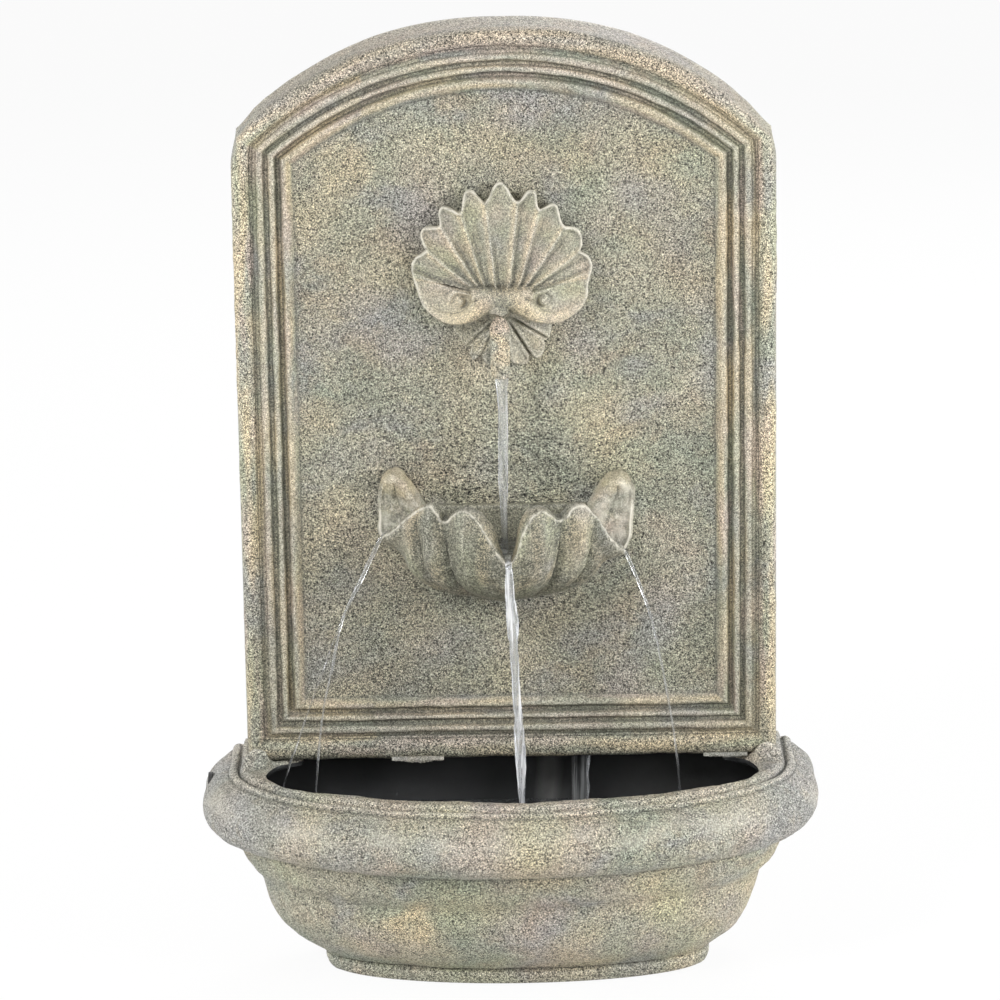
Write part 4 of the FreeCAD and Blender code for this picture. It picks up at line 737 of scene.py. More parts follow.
def to_polyline(x, z, line):
    """Distance of each point to a polyline, and the line's own values at the nearest place."""
    line = np.asarray(line, float)
    best = np.full(x.shape, 1e9)
    values = np.zeros(x.shape + (line.shape[1] - 2,))
    for start, end in zip(line[:-1], line[1:]):
        along = end[:2] - start[:2]
        t = ((x - start[0]) * along[0] + (z - start[1]) * along[1]) / max(along @ along, 1e-9)
        t = np.clip(t, 0, 1)
        far = np.hypot(x - start[0] - t * along[0], z - start[1] - t * along[1])
        near = far < best
        best = np.where(near, far, best)
        values[near] = (start[2:] + t[..., None] * (end[2:] - start[2:]))[near]
    return best, values


def ridge_turns(radius):
    """Each ridge's angle at that distance from ROSETTE, on its straight way from the bar to the edge."""
    ends = np.array(SHELL_RIDGES)
    rim = np.interp(ends[:, 0], *np.array(SHELL_EDGE).T)
    outer = np.column_stack([rim * np.sin(np.radians(ends[:, 0])), rim * np.cos(np.radians(ends[:, 0]))])
    inner = ends[:, 1:3]
    q = np.clip((radius[..., None] - np.hypot(*inner.T)) / (rim - np.hypot(*inner.T)), 0, 1)
    at = inner + (outer - inner) * q[..., None]
    return np.degrees(np.arctan2(at[..., 0], at[..., 1]))


def rosette_depth(x, z, reach_share, edge):
    """Depth of the shell's face at a point given from ROSETTE; edge is its distance from the outline."""
    radius = np.hypot(x, z)
    turn = np.degrees(np.arctan2(x, z))
    # the fan: hollow flutes between sharp ridges that run down to the bar
    ridge_turn = ridge_turns(radius)
    place = (turn[..., None] > ridge_turn).sum(-1) - 1
    low = np.take_along_axis(ridge_turn, np.clip(place, 0, 9)[..., None], -1)[..., 0]
    high = np.take_along_axis(ridge_turn, np.clip(place + 1, 0, 9)[..., None], -1)[..., 0]
    part = np.clip((turn - low) / np.maximum(high - low, 0.5), 0, 1)
    width = np.radians(np.maximum(high - low, 0.5)) * np.maximum(radius, 6)
    inside = (place >= 0) & (place < 9)
    hollow = 1 - smooth_step(0.0, 0.30, part) + smooth_step(0.30, 1.0, part) ** 1.3
    flute = np.where(inside, hollow, 0.6) * np.minimum(width * 0.36, 5.0)
    depth = 54.5 + 4.0 * (1 - reach_share) + flute
    # side lobes: shallow dishes that stand a little in front of the fan, and melt into the rolled scroll
    side = np.abs(x)
    seam = np.interp(side, *SEAM)
    lobe = smooth_step(1.2, -1.2, z - seam)
    crease = hump(z - seam - 1.6, 1.6) * smooth_step(22, 27, side)
    dish = 59.0 + 1.6 * smooth_step(-8, 16, z) * smooth_step(62, 40, side)
    dish = dish - 2.2 * hump(side - 45, 11, z + 2, 8)
    depth = depth * (1 - lobe) + dish * lobe - 1.6 * crease
    far, values = to_polyline(-side, z, spline(SCROLL, 8))
    size, middle = values[..., 0], values[..., 1]
    roll = middle + size * 1.15 * np.sqrt(np.maximum(1 - (far / (size * 1.25)) ** 2, 0)) - 1.0
    soft = 3.2
    blend = np.clip(0.5 + 0.5 * (roll - depth) / soft, 0, 1)
    joined = depth * (1 - blend) + roll * blend + soft * blend * (1 - blend)
    depth = np.where(far < size * 1.25, joined, depth)
    # the bar between the scrolls, and the pendant knob under it
    bar = 68.0 - 0.15 * (z - 0.5) ** 2 - 0.006 * x ** 2
    depth = np.maximum(depth, np.where((side < 22) & (z < 6.5), bar, 0))
    near = ((x + 2.2) / 8.0) ** 2 + ((z + 11.5) / 8.0) ** 2
    knob = 60.0 + 13.0 * np.maximum(1 - near, 0) ** 0.62
    soft = np.clip(0.5 + 0.5 * (knob - depth) / 4.0, 0, 1)
    depth = np.where(near < 1, depth * (1 - soft) + knob * soft + 4.0 * soft * (1 - soft), depth)
    # volute: a curled hollow on the eye's inner side, with a small button in it
    ex, ez = -side - EYE[0], z - EYE[1]
    er, et = np.hypot(ex, ez), np.degrees(np.arctan2(ez, ex))
    curl_radius = 5.6 - 2.4 * ((et + 250) % 360) / 360
    inner_side = 0.35 + 0.65 * smooth_step(-0.6, 0.7, ex / np.maximum(er, 0.1))
    depth -= 2.2 * hump(er - curl_radius, 1.3) * inner_side * (side > 16)
    depth += 1.6 * hump(er - 8.0, 1.8) * smooth_step(-4, 4, ez) * (side > 16)
    depth += 1.2 * hump(er, 2.0) * (side > 16)
    # thin raised rim along the edge, and the hollow just inside it
    upper = smooth_step(-6, 10, z)
    tips = 0.4 + 0.6 * np.abs(part - 0.5 < 0.3)
    depth += (1.5 * hump(edge, 1.9) - 0.5 * hump(edge - 4.6, 2.4) * tips) * upper
    depth -= 1.4 * smooth_step(1.1, 0.0, edge)
    return depth


def flute_shading(x, z):
    """How dark the painted shade lies beside each ridge, and how warm the painted light is on its other side."""
    radius, turn = np.hypot(x, z), np.degrees(np.arctan2(x, z))
    away = np.radians(turn[:, None] - ridge_turns(radius)) * radius[:, None]
    near_bar = 1 - smooth_step(14, 52, radius)
    right = np.where(away > 0, away, 99.0).min(1)
    left = np.where(away < 0, -away, 99.0).min(1)
    dark = hump(right - 1.9, 1.5) * (0.45 + 0.55 * near_bar)
    warm = hump(left - 1.4, 2.2)
    fan = (z > 5) & (np.abs(turn) < 79)
    return dark * fan, warm * fan


def add_relief_piece(name, root, x, z, depth, reach, turn_back, middle_depth):
    """A relief from rings of points about its root, whose edge turns back to the field in the given steps."""
    points = [(root[0] + a, d, root[1] + b) for a, d, b in zip(x[1:].ravel(), depth[1:].ravel(), z[1:].ravel())]
    for shrink, level in turn_back:
        for a, b, d, s in zip(x[-1], z[-1], depth[-1], (reach - shrink) / reach):
            points.append((root[0] + a * s, FIELD + (d - FIELD) * level, root[1] + b * s))
    points.append((root[0], middle_depth, root[1]))
    rows = len(x) - 1 + len(turn_back)
    return add_piece(name, points, disc_faces(rows, len(reach), len(points) - 1), 70)


def make_rosette():
    """The shell: fan of flutes, side lobes with scrolls, a bar between them and a knob over the spout."""
    turns, rings = 720, 84
    angles = np.linspace(-180, 180, turns, endpoint=False)
    edge_line = spline(SHELL_EDGE, 6)
    reach = np.interp(angles, edge_line[:, 0], edge_line[:, 1])
    reach = reach * (1 + 0.006 * np.array([noise.noise(Vector((a * 0.45, 7.0, 0.0))) for a in angles]))
    share = np.sin(np.linspace(0, math.pi / 2, rings)) ** 0.9
    r = share[:, None] * reach
    x = r * np.sin(np.radians(angles))
    z = r * np.cos(np.radians(angles))
    outline = np.column_stack([x[-1], z[-1]])[::2]
    outline = np.vstack([outline, outline[:1]])
    edge, _ = to_polyline(x, z, outline)
    depth = rosette_depth(x, z, share[:, None] * np.ones(turns), edge)
    turn_back = ((0.15, 0.75), (0.9, 0.45), (1.6, 0.12), (2.2, -0.1))
    shell = add_relief_piece("rosette_shell", ROSETTE, x, z, depth, reach, turn_back, depth[0].mean())
    mark_relief(shell, 1.8, 3)
    roughen(shell, ((0.35, 9.0), (0.22, 3.6)), 61)
    place = millimetres(shell)
    across, height = place[:, 0] - ROSETTE[0], place[:, 2] - ROSETTE[1]
    middle = smooth_step(5, 9, np.hypot(across, height))
    throat = hump(across, 10, height + 13, 9)       # the shaded hollow under the bar
    store(shell, "relief", 0.5 + (stored(shell, "relief") - 0.5) * middle - 0.25 * throat)
    to_edge, _ = to_polyline(across, height, outline)
    upper = smooth_step(-14, 6, height) * (place[:, 1] < -49)
    ragged = 0.75 + 0.6 * bumps(place, 3.4, 79)
    store(shell, "pale", np.clip(0.85 * hump(to_edge - 0.3, 1.3) * upper * ragged + 0.10
                                 + 0.10 * smooth_step(6, -2, height) * smooth_step(18, 30, np.abs(across)), 0, 0.88))
    side = np.abs(across)
    far, values = to_polyline(-side, height, spline(SCROLL, 8))
    roll_warm = smooth_step(7.5, 1.5, far) * smooth_step(58, 40, side) * smooth_step(4, 12, side)
    # painted shade on one side of each ridge and painted warm light on the other
    dark, warm = flute_shading(across, height)
    lobe = 0.3 * smooth_step(8, 0, height) * smooth_step(14, 26, side)
    inner_ends = 0.6 * hump(side - 14, 6, height + 5, 6)
    in_bar = smooth_step(26, 18, side) * smooth_step(8, 5, height)
    tint = 0.5 * roll_warm + 0.55 * warm + lobe + inner_ends + 0.04 + 0.16 * in_bar
    store(shell, "tint", np.clip(tint + 0.25 * bumps(place, 16.0, 71), 0, 1))
    store(shell, "blush", np.clip(0.6 * bumps(place, 19.0, 75) + 0.2 * roll_warm + 0.3 * throat, 0, 0.8))
    store(shell, "moss", np.clip(0.7 * bumps(place, 15.0, 77) + 0.1, 0, 0.7) * (1 - in_bar))
    # painted shade where the shell sinks towards the field
    recess = 0.6 * smooth_step(-51, -45, place[:, 1])
    grey_bar = 0.12 * hump(across, 8, height + 3, 10)
    seam = np.interp(side, *SEAM)
    # painted shadow along the seam where the lobes stand in front of the fan
    band = 0.45 * hump(height - seam - 2.0, 2.2) * smooth_step(18, 26, side)
    # painted shade in the crease along the bar's top
    bar_top = 0.5 * hump(height - 7.5, 1.6) * smooth_step(26, 18, side)
    # painted shade in the hollow under the bar, and a darker middle
    middle_dark = 0.75 * throat + 0.36 * hump(across, 9, height - 1, 7)
    paint = recess + grey_bar + band + bar_top + dark + middle_dark + 0.12 * bumps(place, 17.0, 73) + 0.06
    store(shell, "damp_and_shade", np.clip(paint, 0, 0.85))
    return shell


LEAF_ROOT = (-2.5, 490.0)
# lower leaves, as (angle from straight down to the right, reach) about LEAF_ROOT
LEAF_EDGE = ((-180, 6), (-110, 14), (-88, 26), (-76, 35), (-69.4, 37.6), (-60, 36.4), (-50, 36.2), (-44.5, 36.4),
             (-41, 34.4), (-37.5, 38.4), (-31.8, 41.6), (-28, 39.6), (-25.5, 36.5), (-21, 38), (-15, 40.5), (-9, 38.5),
             (-5, 34), (4, 34), (8, 36), (11.3, 39.2), (16.7, 41.4), (22, 42.6), (27, 41.4), (30, 38), (33.5, 41.8),
             (38.5, 43.4), (45, 41.4), (50.5, 39.2), (53, 36.6), (57, 39), (64, 38.2), (72, 37), (82, 32), (100, 18),
             (125, 10), (180, 6))
LEAF_CUTS = (-45.0, -26.0, -6.0, 7.5, 31.5, 57.0)


def make_leaves():
    """The fan of small leaves under the shell, cut apart by sharp V grooves."""
    turns, rings = 420, 40
    angles = np.linspace(-180, 180, turns, endpoint=False)
    edge_line = spline(LEAF_EDGE, 5)
    reach = np.interp(angles, edge_line[:, 0], edge_line[:, 1])
    share = np.linspace(0, 1, rings) ** 0.8
    r = share[:, None] * reach
    x, z = r * np.sin(np.radians(angles)), -r * np.cos(np.radians(angles))
    depth = 50.5 - 2.5 * share[:, None] + np.zeros(turns)
    for cut in LEAF_CUTS:
        away = np.abs((angles - cut + 180) % 360 - 180)
        across = np.radians(away) * np.maximum(r, 8)
        depth = depth - (3.4 if cut > 10 else 0.9) * hump(across, 0.8) * smooth_step(6, 14, r)
        depth = depth + 0.9 * hump(across - 2.4, 1.4) * smooth_step(10, 24, r)
    outline = np.column_stack([x[-1], z[-1]])[::2]
    edge, _ = to_polyline(x, z, np.vstack([outline, outline[:1]]))
    depth += 0.9 * hump(edge, 1.2) - 2.0 * smooth_step(1.2, 0, edge)
    turn_back = ((0.2, 0.6), (1.0, 0.2), (1.6, -0.15))
    leaves = add_relief_piece("rosette_leaves", LEAF_ROOT, x, z, depth, reach, turn_back, 50.5)
    mark_relief(leaves, 1.7, 2)
    roughen(leaves, ((0.35, 6.0), (0.2, 2.8)), 81)
    place = millimetres(leaves)
    # painted light: the right half is painted paler and the left half darker
    right = smooth_step(-6, 6, place[:, 0] - LEAF_ROOT[0])
    store(leaves, "tint", np.clip(0.05 + 0.25 * bumps(place, 14.0, 83), 0, 0.5))
    # painted shade where the leaves sink to the field, and a painted shadow beside the spout
    beside = 0.7 * hump(np.abs(place[:, 0] + 4.5) - 8.0, 1.8)
    store(leaves, "damp_and_shade", np.clip(0.30 - 0.32 * right + 0.5 * smooth_step(-48.0, -44, place[:, 1]) + beside, 0, 0.85))
    store(leaves, "pale", np.clip(0.16 * right + 0.12 * bumps(place, 6.0, 85), 0, 0.5))
    return leaves


def tube_points(path, radii, turns, rough, seed):
    """Rings of points round a path, one for each of its points, with an uneven wall."""
    path = np.asarray(path, float)
    points, side = [], np.array((1.0, 0.0, 0.0))
    for index, centre in enumerate(path):
        ahead = path[min(index + 1, len(path) - 1)] - path[max(index - 1, 0)]
        ahead /= np.linalg.norm(ahead)
        side = side - ahead * (side @ ahead)
        side /= np.linalg.norm(side)
        up = np.cross(ahead, side)
        for step in range(turns):
            angle = 2 * math.pi * step / turns
            out = side * math.cos(angle) + up * math.sin(angle)
            size = radii[index]
            size *= 1 + rough * noise.noise(Vector(centre + out * size) / 3.0 + Vector((seed, 0, 0)))
            points.append(centre + out * size)
    return points


def make_spout():
    """The short rough spout under the knob, turned down, with its bore open at the tip."""
    across = ROSETTE[0] - 2.0
    path = [(across, 60, 486.0), (across, 66, 486.1), (across, 72, 486.0), (across, 76.0, 485.2),
            (across, 77.6, 483.4), (across, 78.0, 480.6), (across, 78.0, 477.6)]
    path += [(across, 78, z) for z in np.linspace(475, 448.4, 14)]
    radii = [3.0, 3.6, 4.6, 6.0, 7.0, 7.2, 6.9] + [6.9] * 13 + [6.5]
    path, radii = spline(path, 3), np.interp(np.linspace(0, 1, 3 * 20 + 1), np.linspace(0, 1, 21), radii)
    turns = 44
    points = tube_points(path, radii, turns, 0.07, 5)
    # the rings inside the bore follow the outer rings' order
    first, second = points[-turns:][:2]
    lead = math.atan2(first[1] - 78, first[0] - across)
    step = math.atan2(second[1] - 78, second[0] - across) - lead
    step = (step + math.pi) % (2 * math.pi) - math.pi
    for level, size in ((447.7, 5.6), (447.7, 4.6), (450, 4.1), (457, 4.0), (464, 4.0)):
        for index in range(turns):
            angle = lead + step * index
            points.append((across + size * math.cos(angle), 78 + size * math.sin(angle), level))
    rings = len(points) // turns
    spout = add_piece("spout_rough", points, grid_faces(rings, turns, True) + caps(rings, turns), 60)
    mark_relief(spout, 0.7, 3)
    place = millimetres(spout)
    roughen(spout, ((0.30, 4.0), (0.16, 2.0)), 91, lambda p: smooth_step(-1, 0, -447.5 + p[:, 2]))
    # painted shade inside the bore and in the ring round the spout's top
    bore_dark = (np.hypot(place[:, 0] - across, place[:, 1] + 78) < 4.4) & (place[:, 2] < 466)
    notch = hump(place[:, 2] - 486.2, 0.9) * (place[:, 1] < -72)
    store(spout, "relief", np.clip(stored(spout, "relief") - 0.5 * bore_dark - 0.4 * notch, 0, 1))
    store(spout, "tint", np.clip(0.32 + 0.5 * bumps(place, 9.0, 93), 0, 0.9))
    store(spout, "blush", np.clip(0.25 + 0.5 * smooth_step(478, 484, place[:, 2]), 0, 0.8))
    # painted shade on the spout's side towards the panel
    behind = smooth_step(-76, -71, place[:, 1]) * smooth_step(484, 478, place[:, 2])
    store(spout, "damp_and_shade", np.clip(0.75 * bore_dark + 0.5 * behind, 0, 0.85))
    return spout


finish_piece(make_rosette(), stone_fine, "cast_stone", "shell_rosette")
finish_piece(make_leaves(), stone_fine, "cast_stone")
finish_piece(make_spout(), stone_main, "cast_stone", "spout")


# ---------------------------------------------------------------- catch bowl

# the bowl's edge from the left tip round the front to the right tip: across, depth, height
BOWL_EDGE = ((-93, 75, 330.5), (-83.3, 84, 337.5), (-76, 88.5, 345), (-69, 92, 351.5), (-62.5, 96, 357),
             (-57.3, 99, 359.4), (-53.4, 100.5, 357.6), (-50, 101.2, 352.5), (-46.6, 101.6, 348.2),
             (-43.4, 103, 349.6), (-38.6, 107, 355.4), (-33.4, 110.5, 358.9), (-28.5, 112, 357.6), (-22, 113.6, 351),
             (-16.5, 115.4, 342.4), (-10.8, 117.4, 332), (-5.4, 118.8, 324.4), (-0.8, 119.4, 321.6), (3.4, 118.8, 325),
             (6.6, 117.4, 332.5), (9.4, 115.8, 341), (13.2, 114, 348.4), (17.8, 112.2, 354.4), (22.6, 110.4, 357.4),
             (27.4, 107.6, 355.6), (32, 104.6, 351), (36.8, 102, 348.6), (41.2, 101, 351.2), (45.2, 99.6, 355.8),
             (50.4, 97.6, 358), (55.6, 95.2, 356.2), (60.6, 92.2, 350.4), (65.6, 88.6, 343), (71, 84.6, 333.5),
             (77, 80.6, 324.5), (83, 76.5, 318.5))
# the inner edge of the same lip, station by station
BOWL_INNER = ((-88, 70, 334), (-79, 78, 341), (-72.5, 82, 348), (-66, 85, 354), (-60, 88, 358.5), (-54.5, 90.5, 359.5),
              (-50, 91, 358.5), (-45.8, 91, 355), (-43.5, 91.5, 351.5), (-41.5, 93, 351.6), (-37, 96, 356),
              (-31, 98, 358.8), (-25, 99.5, 358.6), (-17.8, 101.5, 354.6), (-11.5, 103.5, 346.5), (-6.8, 106, 335),
              (-4.2, 108, 325), (-0.8, 109, 320.5), (2.6, 108, 325.5), (4.6, 106, 334), (6.4, 104, 344),
              (8.6, 102, 351.5), (13.4, 100, 357), (21, 98, 359), (27, 96, 356.5), (31, 93.5, 353.5), (35, 92, 351.5),
              (38.6, 91.5, 354.5), (42.5, 91, 358), (49, 89.5, 359), (53.5, 87.5, 357.5), (58, 84.5, 352.5),
              (62.5, 81, 345.5), (67.5, 77.5, 336.5), (73.5, 74, 328), (80, 71, 322.5))
BOWL_BACK, BOWL_FOOT = -3.0, 277.0      # across of the bowl's middle, and the height of its lowest point
BOWL_FLOOR, BOWL_WATER = 304.0, 322.0   # heights of the inside's floor and of the water
# how wide the bowl is, as a share, by the share of its height
BOWL_FLARE = ((0.0, 0.10), (0.04, 0.26), (0.09, 0.44), (0.16, 0.61), (0.24, 0.75), (0.33, 0.85), (0.45, 0.925),
              (0.60, 0.975), (0.80, 1.0), (1.1, 1.0))
CREASES = (-93.0, -66.0, -46.4, -0.8, 37.0, 62.0, 83.0)     # across of the hollows between the flutes, at the edge


def bowl_flare(rise):
    return np.interp(rise / 82.0, *np.array(BOWL_FLARE).T)


def bowl_shrink(level):
    """How wide the bowl's inside is, as a share of its lip, at a share of the height from floor to lip."""
    return 0.42 + 0.55 * level ** 0.6 + 0.03 * level ** 8


def make_bowl():
    """The fluted catch bowl: bulging flutes outside, thick scalloped edge with a V notch, smooth wet inside."""
    smooth_edge, inner = spline(BOWL_EDGE, 10), spline(BOWL_INNER, 10)
    edge, count = smooth_edge, len(smooth_edge)
    edge = edge + 0.45 * np.column_stack([bumps(edge, 3.0, 113), bumps(edge, 3.0, 114), bumps(edge, 3.0, 115)])
    across, out = smooth_edge[:, 0] - BOWL_BACK, smooth_edge[:, 1] - FIELD
    part = np.zeros(count)
    for low, high in zip(CREASES[:-1], CREASES[1:]):
        here = (edge[:, 0] >= low) & (edge[:, 0] <= high)
        part[here] = (edge[here, 0] - low) / (high - low)
    swell = np.sin(math.pi * part) ** 0.8
    fold = 1 - 0.6 * hump(edge[:, 0] + 0.8, 6.0)
    swell = 1 - (1 - swell) * fold
    tall = smooth_edge[:, 2] - BOWL_FOOT
    side_lip = smooth_step(58, 88, np.abs(across))
    rows_of_points = []
    for level in np.concatenate([np.linspace(0, 0.9, 44), np.linspace(0.92, 1.0, 9)]):
        flare = bowl_flare(tall * level) / bowl_flare(tall)
        flare = flare * (1 - side_lip * 0.12 * smooth_step(1.0, 0.72, level))
        belly = math.sin(math.pi * min(level * 1.02, 1.0)) ** 0.7
        bulge = 1 + (0.055 * swell - 0.035 * (1 - swell) * fold) * belly
        height = BOWL_FOOT + tall * level - 2.5 * swell * math.sin(math.pi * level)
        row = np.column_stack([BOWL_BACK + across * flare * bulge, FIELD + out * flare * bulge, height])
        rows_of_points.append(row + (edge - smooth_edge) * smooth_step(0.85, 1.0, level))
    for share, crown in ((0.10, 0.5), (0.3, 0.9), (0.55, 0.9), (0.8, 0.4), (0.94, -0.2), (1.0, -1.2)):
        rows_of_points.append(edge + (inner - edge) * share + np.array((0, 0, crown)))
    deep = inner[:, 2] - BOWL_FLOOR
    from_middle = np.column_stack([inner[:, 0] - BOWL_BACK, inner[:, 1] - FIELD - 4])
    for level in np.linspace(0.95, 0.0, 22):
        spot = from_middle * bowl_shrink(level)
        rows_of_points.append(np.column_stack([BOWL_BACK + spot[:, 0], np.maximum(FIELD + 4 + spot[:, 1], FIELD + 4),
                                               BOWL_FLOOR + deep * level]))
    rows = len(rows_of_points)
    faces = grid_faces(rows, count)
    for column in (0, count - 1):
        faces.append([row * count + column for row in range(rows)])
    faces += caps(rows, count)[::-1]
    faces.append([0, count - 1, (rows - 1) * count + count - 1, (rows - 1) * count])
    bowl = add_piece("catch_bowl", np.vstack(rows_of_points), faces, 42)
    mark_relief(bowl, 2.6, 2)
    roughen(bowl, ((0.6, 14.0), (0.5, 4.6)), 101, lambda p: smooth_step(-44, -50, p[:, 1]))
    place, facing = millimetres(bowl), vectors(bowl.data, "normal")
    rise = place * (1.0, 1.0, 0.35)
    store(bowl, "tint", np.clip(0.02 + 0.95 * bumps(rise, 14.0, 103), 0, 0.85))
    store(bowl, "blush", np.clip(0.4 * bumps(place, 26.0, 105), 0, 0.6))
    store(bowl, "moss", np.clip(0.10 + 0.85 * bumps(rise, 16.0, 104), 0, 0.7))
    # painted shade on the bowl's underside
    under = smooth_step(314, 284, place[:, 2]) * 0.62
    middle = np.array((BOWL_BACK, -FIELD - 8.0))
    inside = ((place[:, :2] - middle) * facing[:, :2]).sum(1) < 0
    left = smooth_step(20, -30, place[:, 0])
    # painted shade down the hollows between the flutes, pale paint along the edge
    shares = (place[:, 0] - BOWL_BACK) / np.maximum(bowl_flare(place[:, 2] - BOWL_FOOT), 0.1) + BOWL_BACK
    hollows = sum(w * hump(shares - c, 5.5) for c, w in zip(CREASES[1:-1], (1.0, 0.7, 0.0, 0.8, 0.9)))
    hollows = hollows * smooth_step(356, 344, place[:, 2]) * ~inside
    # darker on the left, with painted shade inside the bowl
    shade = 0.56 + 0.20 * left + 0.46 * bumps(rise, 13.0, 107) + under + 0.14 * inside + 0.55 * hollows
    gap = np.full(len(place), 1e9)      # squared distance to the lip's outer edge
    for point in edge * (1, -1, 1):
        gap = np.minimum(gap, ((place - point) ** 2).sum(1))
    line = np.exp(-gap) * (0.75 + 0.7 * bumps(place, 3.4, 109))
    store(bowl, "pale", np.clip(0.9 * line, 0, 0.88))
    store(bowl, "ash", np.clip(1.2 * (facing[:, 2] - 0.25), 0, 0.85) * (place[:, 2] > 318))
    store(bowl, "damp_and_shade", np.clip(shade, 0, 0.92))
    return bowl


# the raised ears beside the bowl: outline as across and height, hollow in the middle
EAR_LEFT = ((-93.6, 328), (-94.2, 342), (-94, 355), (-92.6, 365), (-89.4, 371.6), (-83.6, 375.4), (-77.4, 374.2),
            (-72.6, 369.4), (-68.4, 363), (-64.6, 356.4), (-60.5, 349), (-58, 340), (-60, 328), (-70, 318), (-84, 318))
EAR_RIGHT = ((88, 322), (89.4, 334), (90.4, 344), (91.4, 353), (90.6, 361), (87, 367.6), (81.6, 371.2), (75.4, 371),
             (70, 367.6), (65.2, 361.6), (60.6, 354), (56.6, 346), (54, 336), (56, 322), (66, 312), (80, 312))


def pit_mark(place, centre, way):
    """How far a point of an ear lies in its hollow, where painted shade goes."""
    return hump(place[:, 0] - centre[0] - way * 1.0, 7.0, place[:, 2] - 344, 10)


def make_ear(name, outline, seed, pit):
    """A rounded ear that curls forward from the panel at the end of the bowl's edge."""
    line = spline(outline, 10, True)
    centre = line.mean(0)
    count, rings = len(line), 26
    share = np.linspace(0, 1, rings)[1:]
    x = centre[0] + (line[:, 0] - centre[0]) * share[:, None]
    z = centre[1] + (line[:, 1] - centre[1]) * share[:, None]
    outer = np.vstack([line[::2], line[:1]])
    edge, _ = to_polyline(x, z, outer)
    way = np.sign(centre[0])
    wide, high = np.ptp(line[:, 0]) / 2, np.ptp(line[:, 1]) / 2
    inward = -way * (x - centre[0]) / wide * 0.55 + (z - centre[1]) / high * 0.85
    hood = smooth_step(-0.35, 0.45, inward)
    # a thick curled hood above and towards the bowl, a hollow outboard of it, and a thin rim round the hollow
    roll = 12.5 * hump(np.maximum(edge - 6.5, 0), 11.0) * hood
    rim = 4.2 * hump(edge - 1.6, 1.5) * (1 - hood)
    depth = 45.0 + (4.0 + roll + rim) * (1 - np.exp(-edge / 1.8)) + 0.20 * np.maximum(352 - z, 0)
    hollow = hump(x - centre[0] - way * 3.0, 7.0, z - 347, 12)
    depth = depth - pit * 0.2 * hollow
    points = list(zip(x.ravel(), depth.ravel(), z.ravel()))
    turn_back = ((0.3, 0.6), (1.4, 0.25), (2.4, -0.08))
    for shrink, level in turn_back:
        ends = line - (line - centre) / np.linalg.norm(line - centre, axis=1)[:, None] * shrink
        points += [(a, FIELD + (d - FIELD) * level, b) for (a, b), d in zip(ends, depth[-1])]
    points.append((centre[0], depth[0].mean(), centre[1]))
    faces = disc_faces(rings - 1 + len(turn_back), count, len(points) - 1)
    ear = add_piece(name, points, faces, 70)
    mark_relief(ear, 2.2, 2)
    roughen(ear, ((0.5, 8.0), (0.45, 4.0)), seed)
    place = millimetres(ear)
    gap, _ = to_polyline(place[:, 0], place[:, 2], outer)
    outside = smooth_step(1.0, 6.0, (place[:, 0] - centre[0]) * way)
    crown = smooth_step(350, 366, place[:, 2])
    veins = np.abs(bumps(place * (1.6, 1.0, 0.8), 3.6, seed + 11))
    store(ear, "moss", np.clip(0.5 * bumps(place, 10.0, seed + 15) + 0.2 * crown, 0, 0.6))
    store(ear, "tint", np.clip(0.70 * crown + 0.3 * bumps(place, 14.0, seed + 3), 0, 0.8))
    store(ear, "blush", np.clip(0.35 * bumps(place, 9.0, seed + 13) + 0.3 * (way > 0) * (1 - crown), 0, 0.7))
    flecks = smooth_step(-0.25, 0.45, bumps(place, 4.2, seed + 17))
    white = 0.62 * hump(veins, 0.12) * (1 - crown) * flecks
    height = place[:, 2]
    white += 0.75 * hump(gap - 1.6, 1.0) * outside * smooth_step(348, 342, height)
    # a painted highlight high on the right ear's outer side
    white += 0.6 * hump(place[:, 0] - 84, 4.5, height - 361 + 0.6 * (place[:, 0] - 84), 3.5)
    # the right ear is painted lighter than the left as painted light, over a pale mottle
    milky = (0.24 if way > 0 else 0.12) + 0.25 * bumps(place, 7.0, seed + 9)
    store(ear, "pale", np.clip(white + milky * (1 - 0.8 * crown), 0, 0.85))
    # painted shadow along the ear's outer edge
    slit = 0.95 * smooth_step(3.0, 1.8, gap) * outside * smooth_step(342, 348, height) * smooth_step(368, 361, height)
    mottled = (0.16 + 0.55 * bumps(place, 5.0, seed + 5)) * (1 - crown)
    mottled += 0.14 * crown
    store(ear, "damp_and_shade", np.clip(0.2 * pit_mark(place, centre, way) + slit + mottled, 0, 0.9))
    return ear


def make_ledge():
    """The plate behind the bowl's water, standing a little in front of the field."""
    top = 347.4
    xs = np.linspace(-60, 56, 60)
    section = ((42.0, 0.0), (45.6, 0.0), (47.4, 0.3), (48.2, 1.2), (48.4, 4.0), (48.8, 14.0), (50.0, 30.0),
               (42.0, 30.0))
    points = []
    for depth, drop in section:
        points += [(x, depth, top - drop + 0.35 * noise.noise(Vector((x * 0.12, 3, 0)))) for x in xs]
    ledge = add_piece("bowl_back", points, strip_faces(len(section), len(xs)), 60)
    mark_relief(ledge, 1.5, 1)
    store(ledge, "tint", np.full(len(ledge.data.vertices), 0.1))
    # painted shade on the plate behind the bowl's water
    store(ledge, "damp_and_shade", np.full(len(ledge.data.vertices), 0.75))
    return ledge


finish_piece(make_bowl(), stone_bowl, "cast_stone", "scallop_bowl")
finish_piece(make_ear("bowl_ear_left", EAR_LEFT, 111, 4.0), stone_bowl, "cast_stone")
finish_piece(make_ear("bowl_ear_right", EAR_RIGHT, 121, 6.0), stone_bowl, "cast_stone")
finish_piece(make_ledge(), stone_smooth, "cast_stone")


# ---------------------------------------------------------------- water

WATER_LEVEL = 112.0
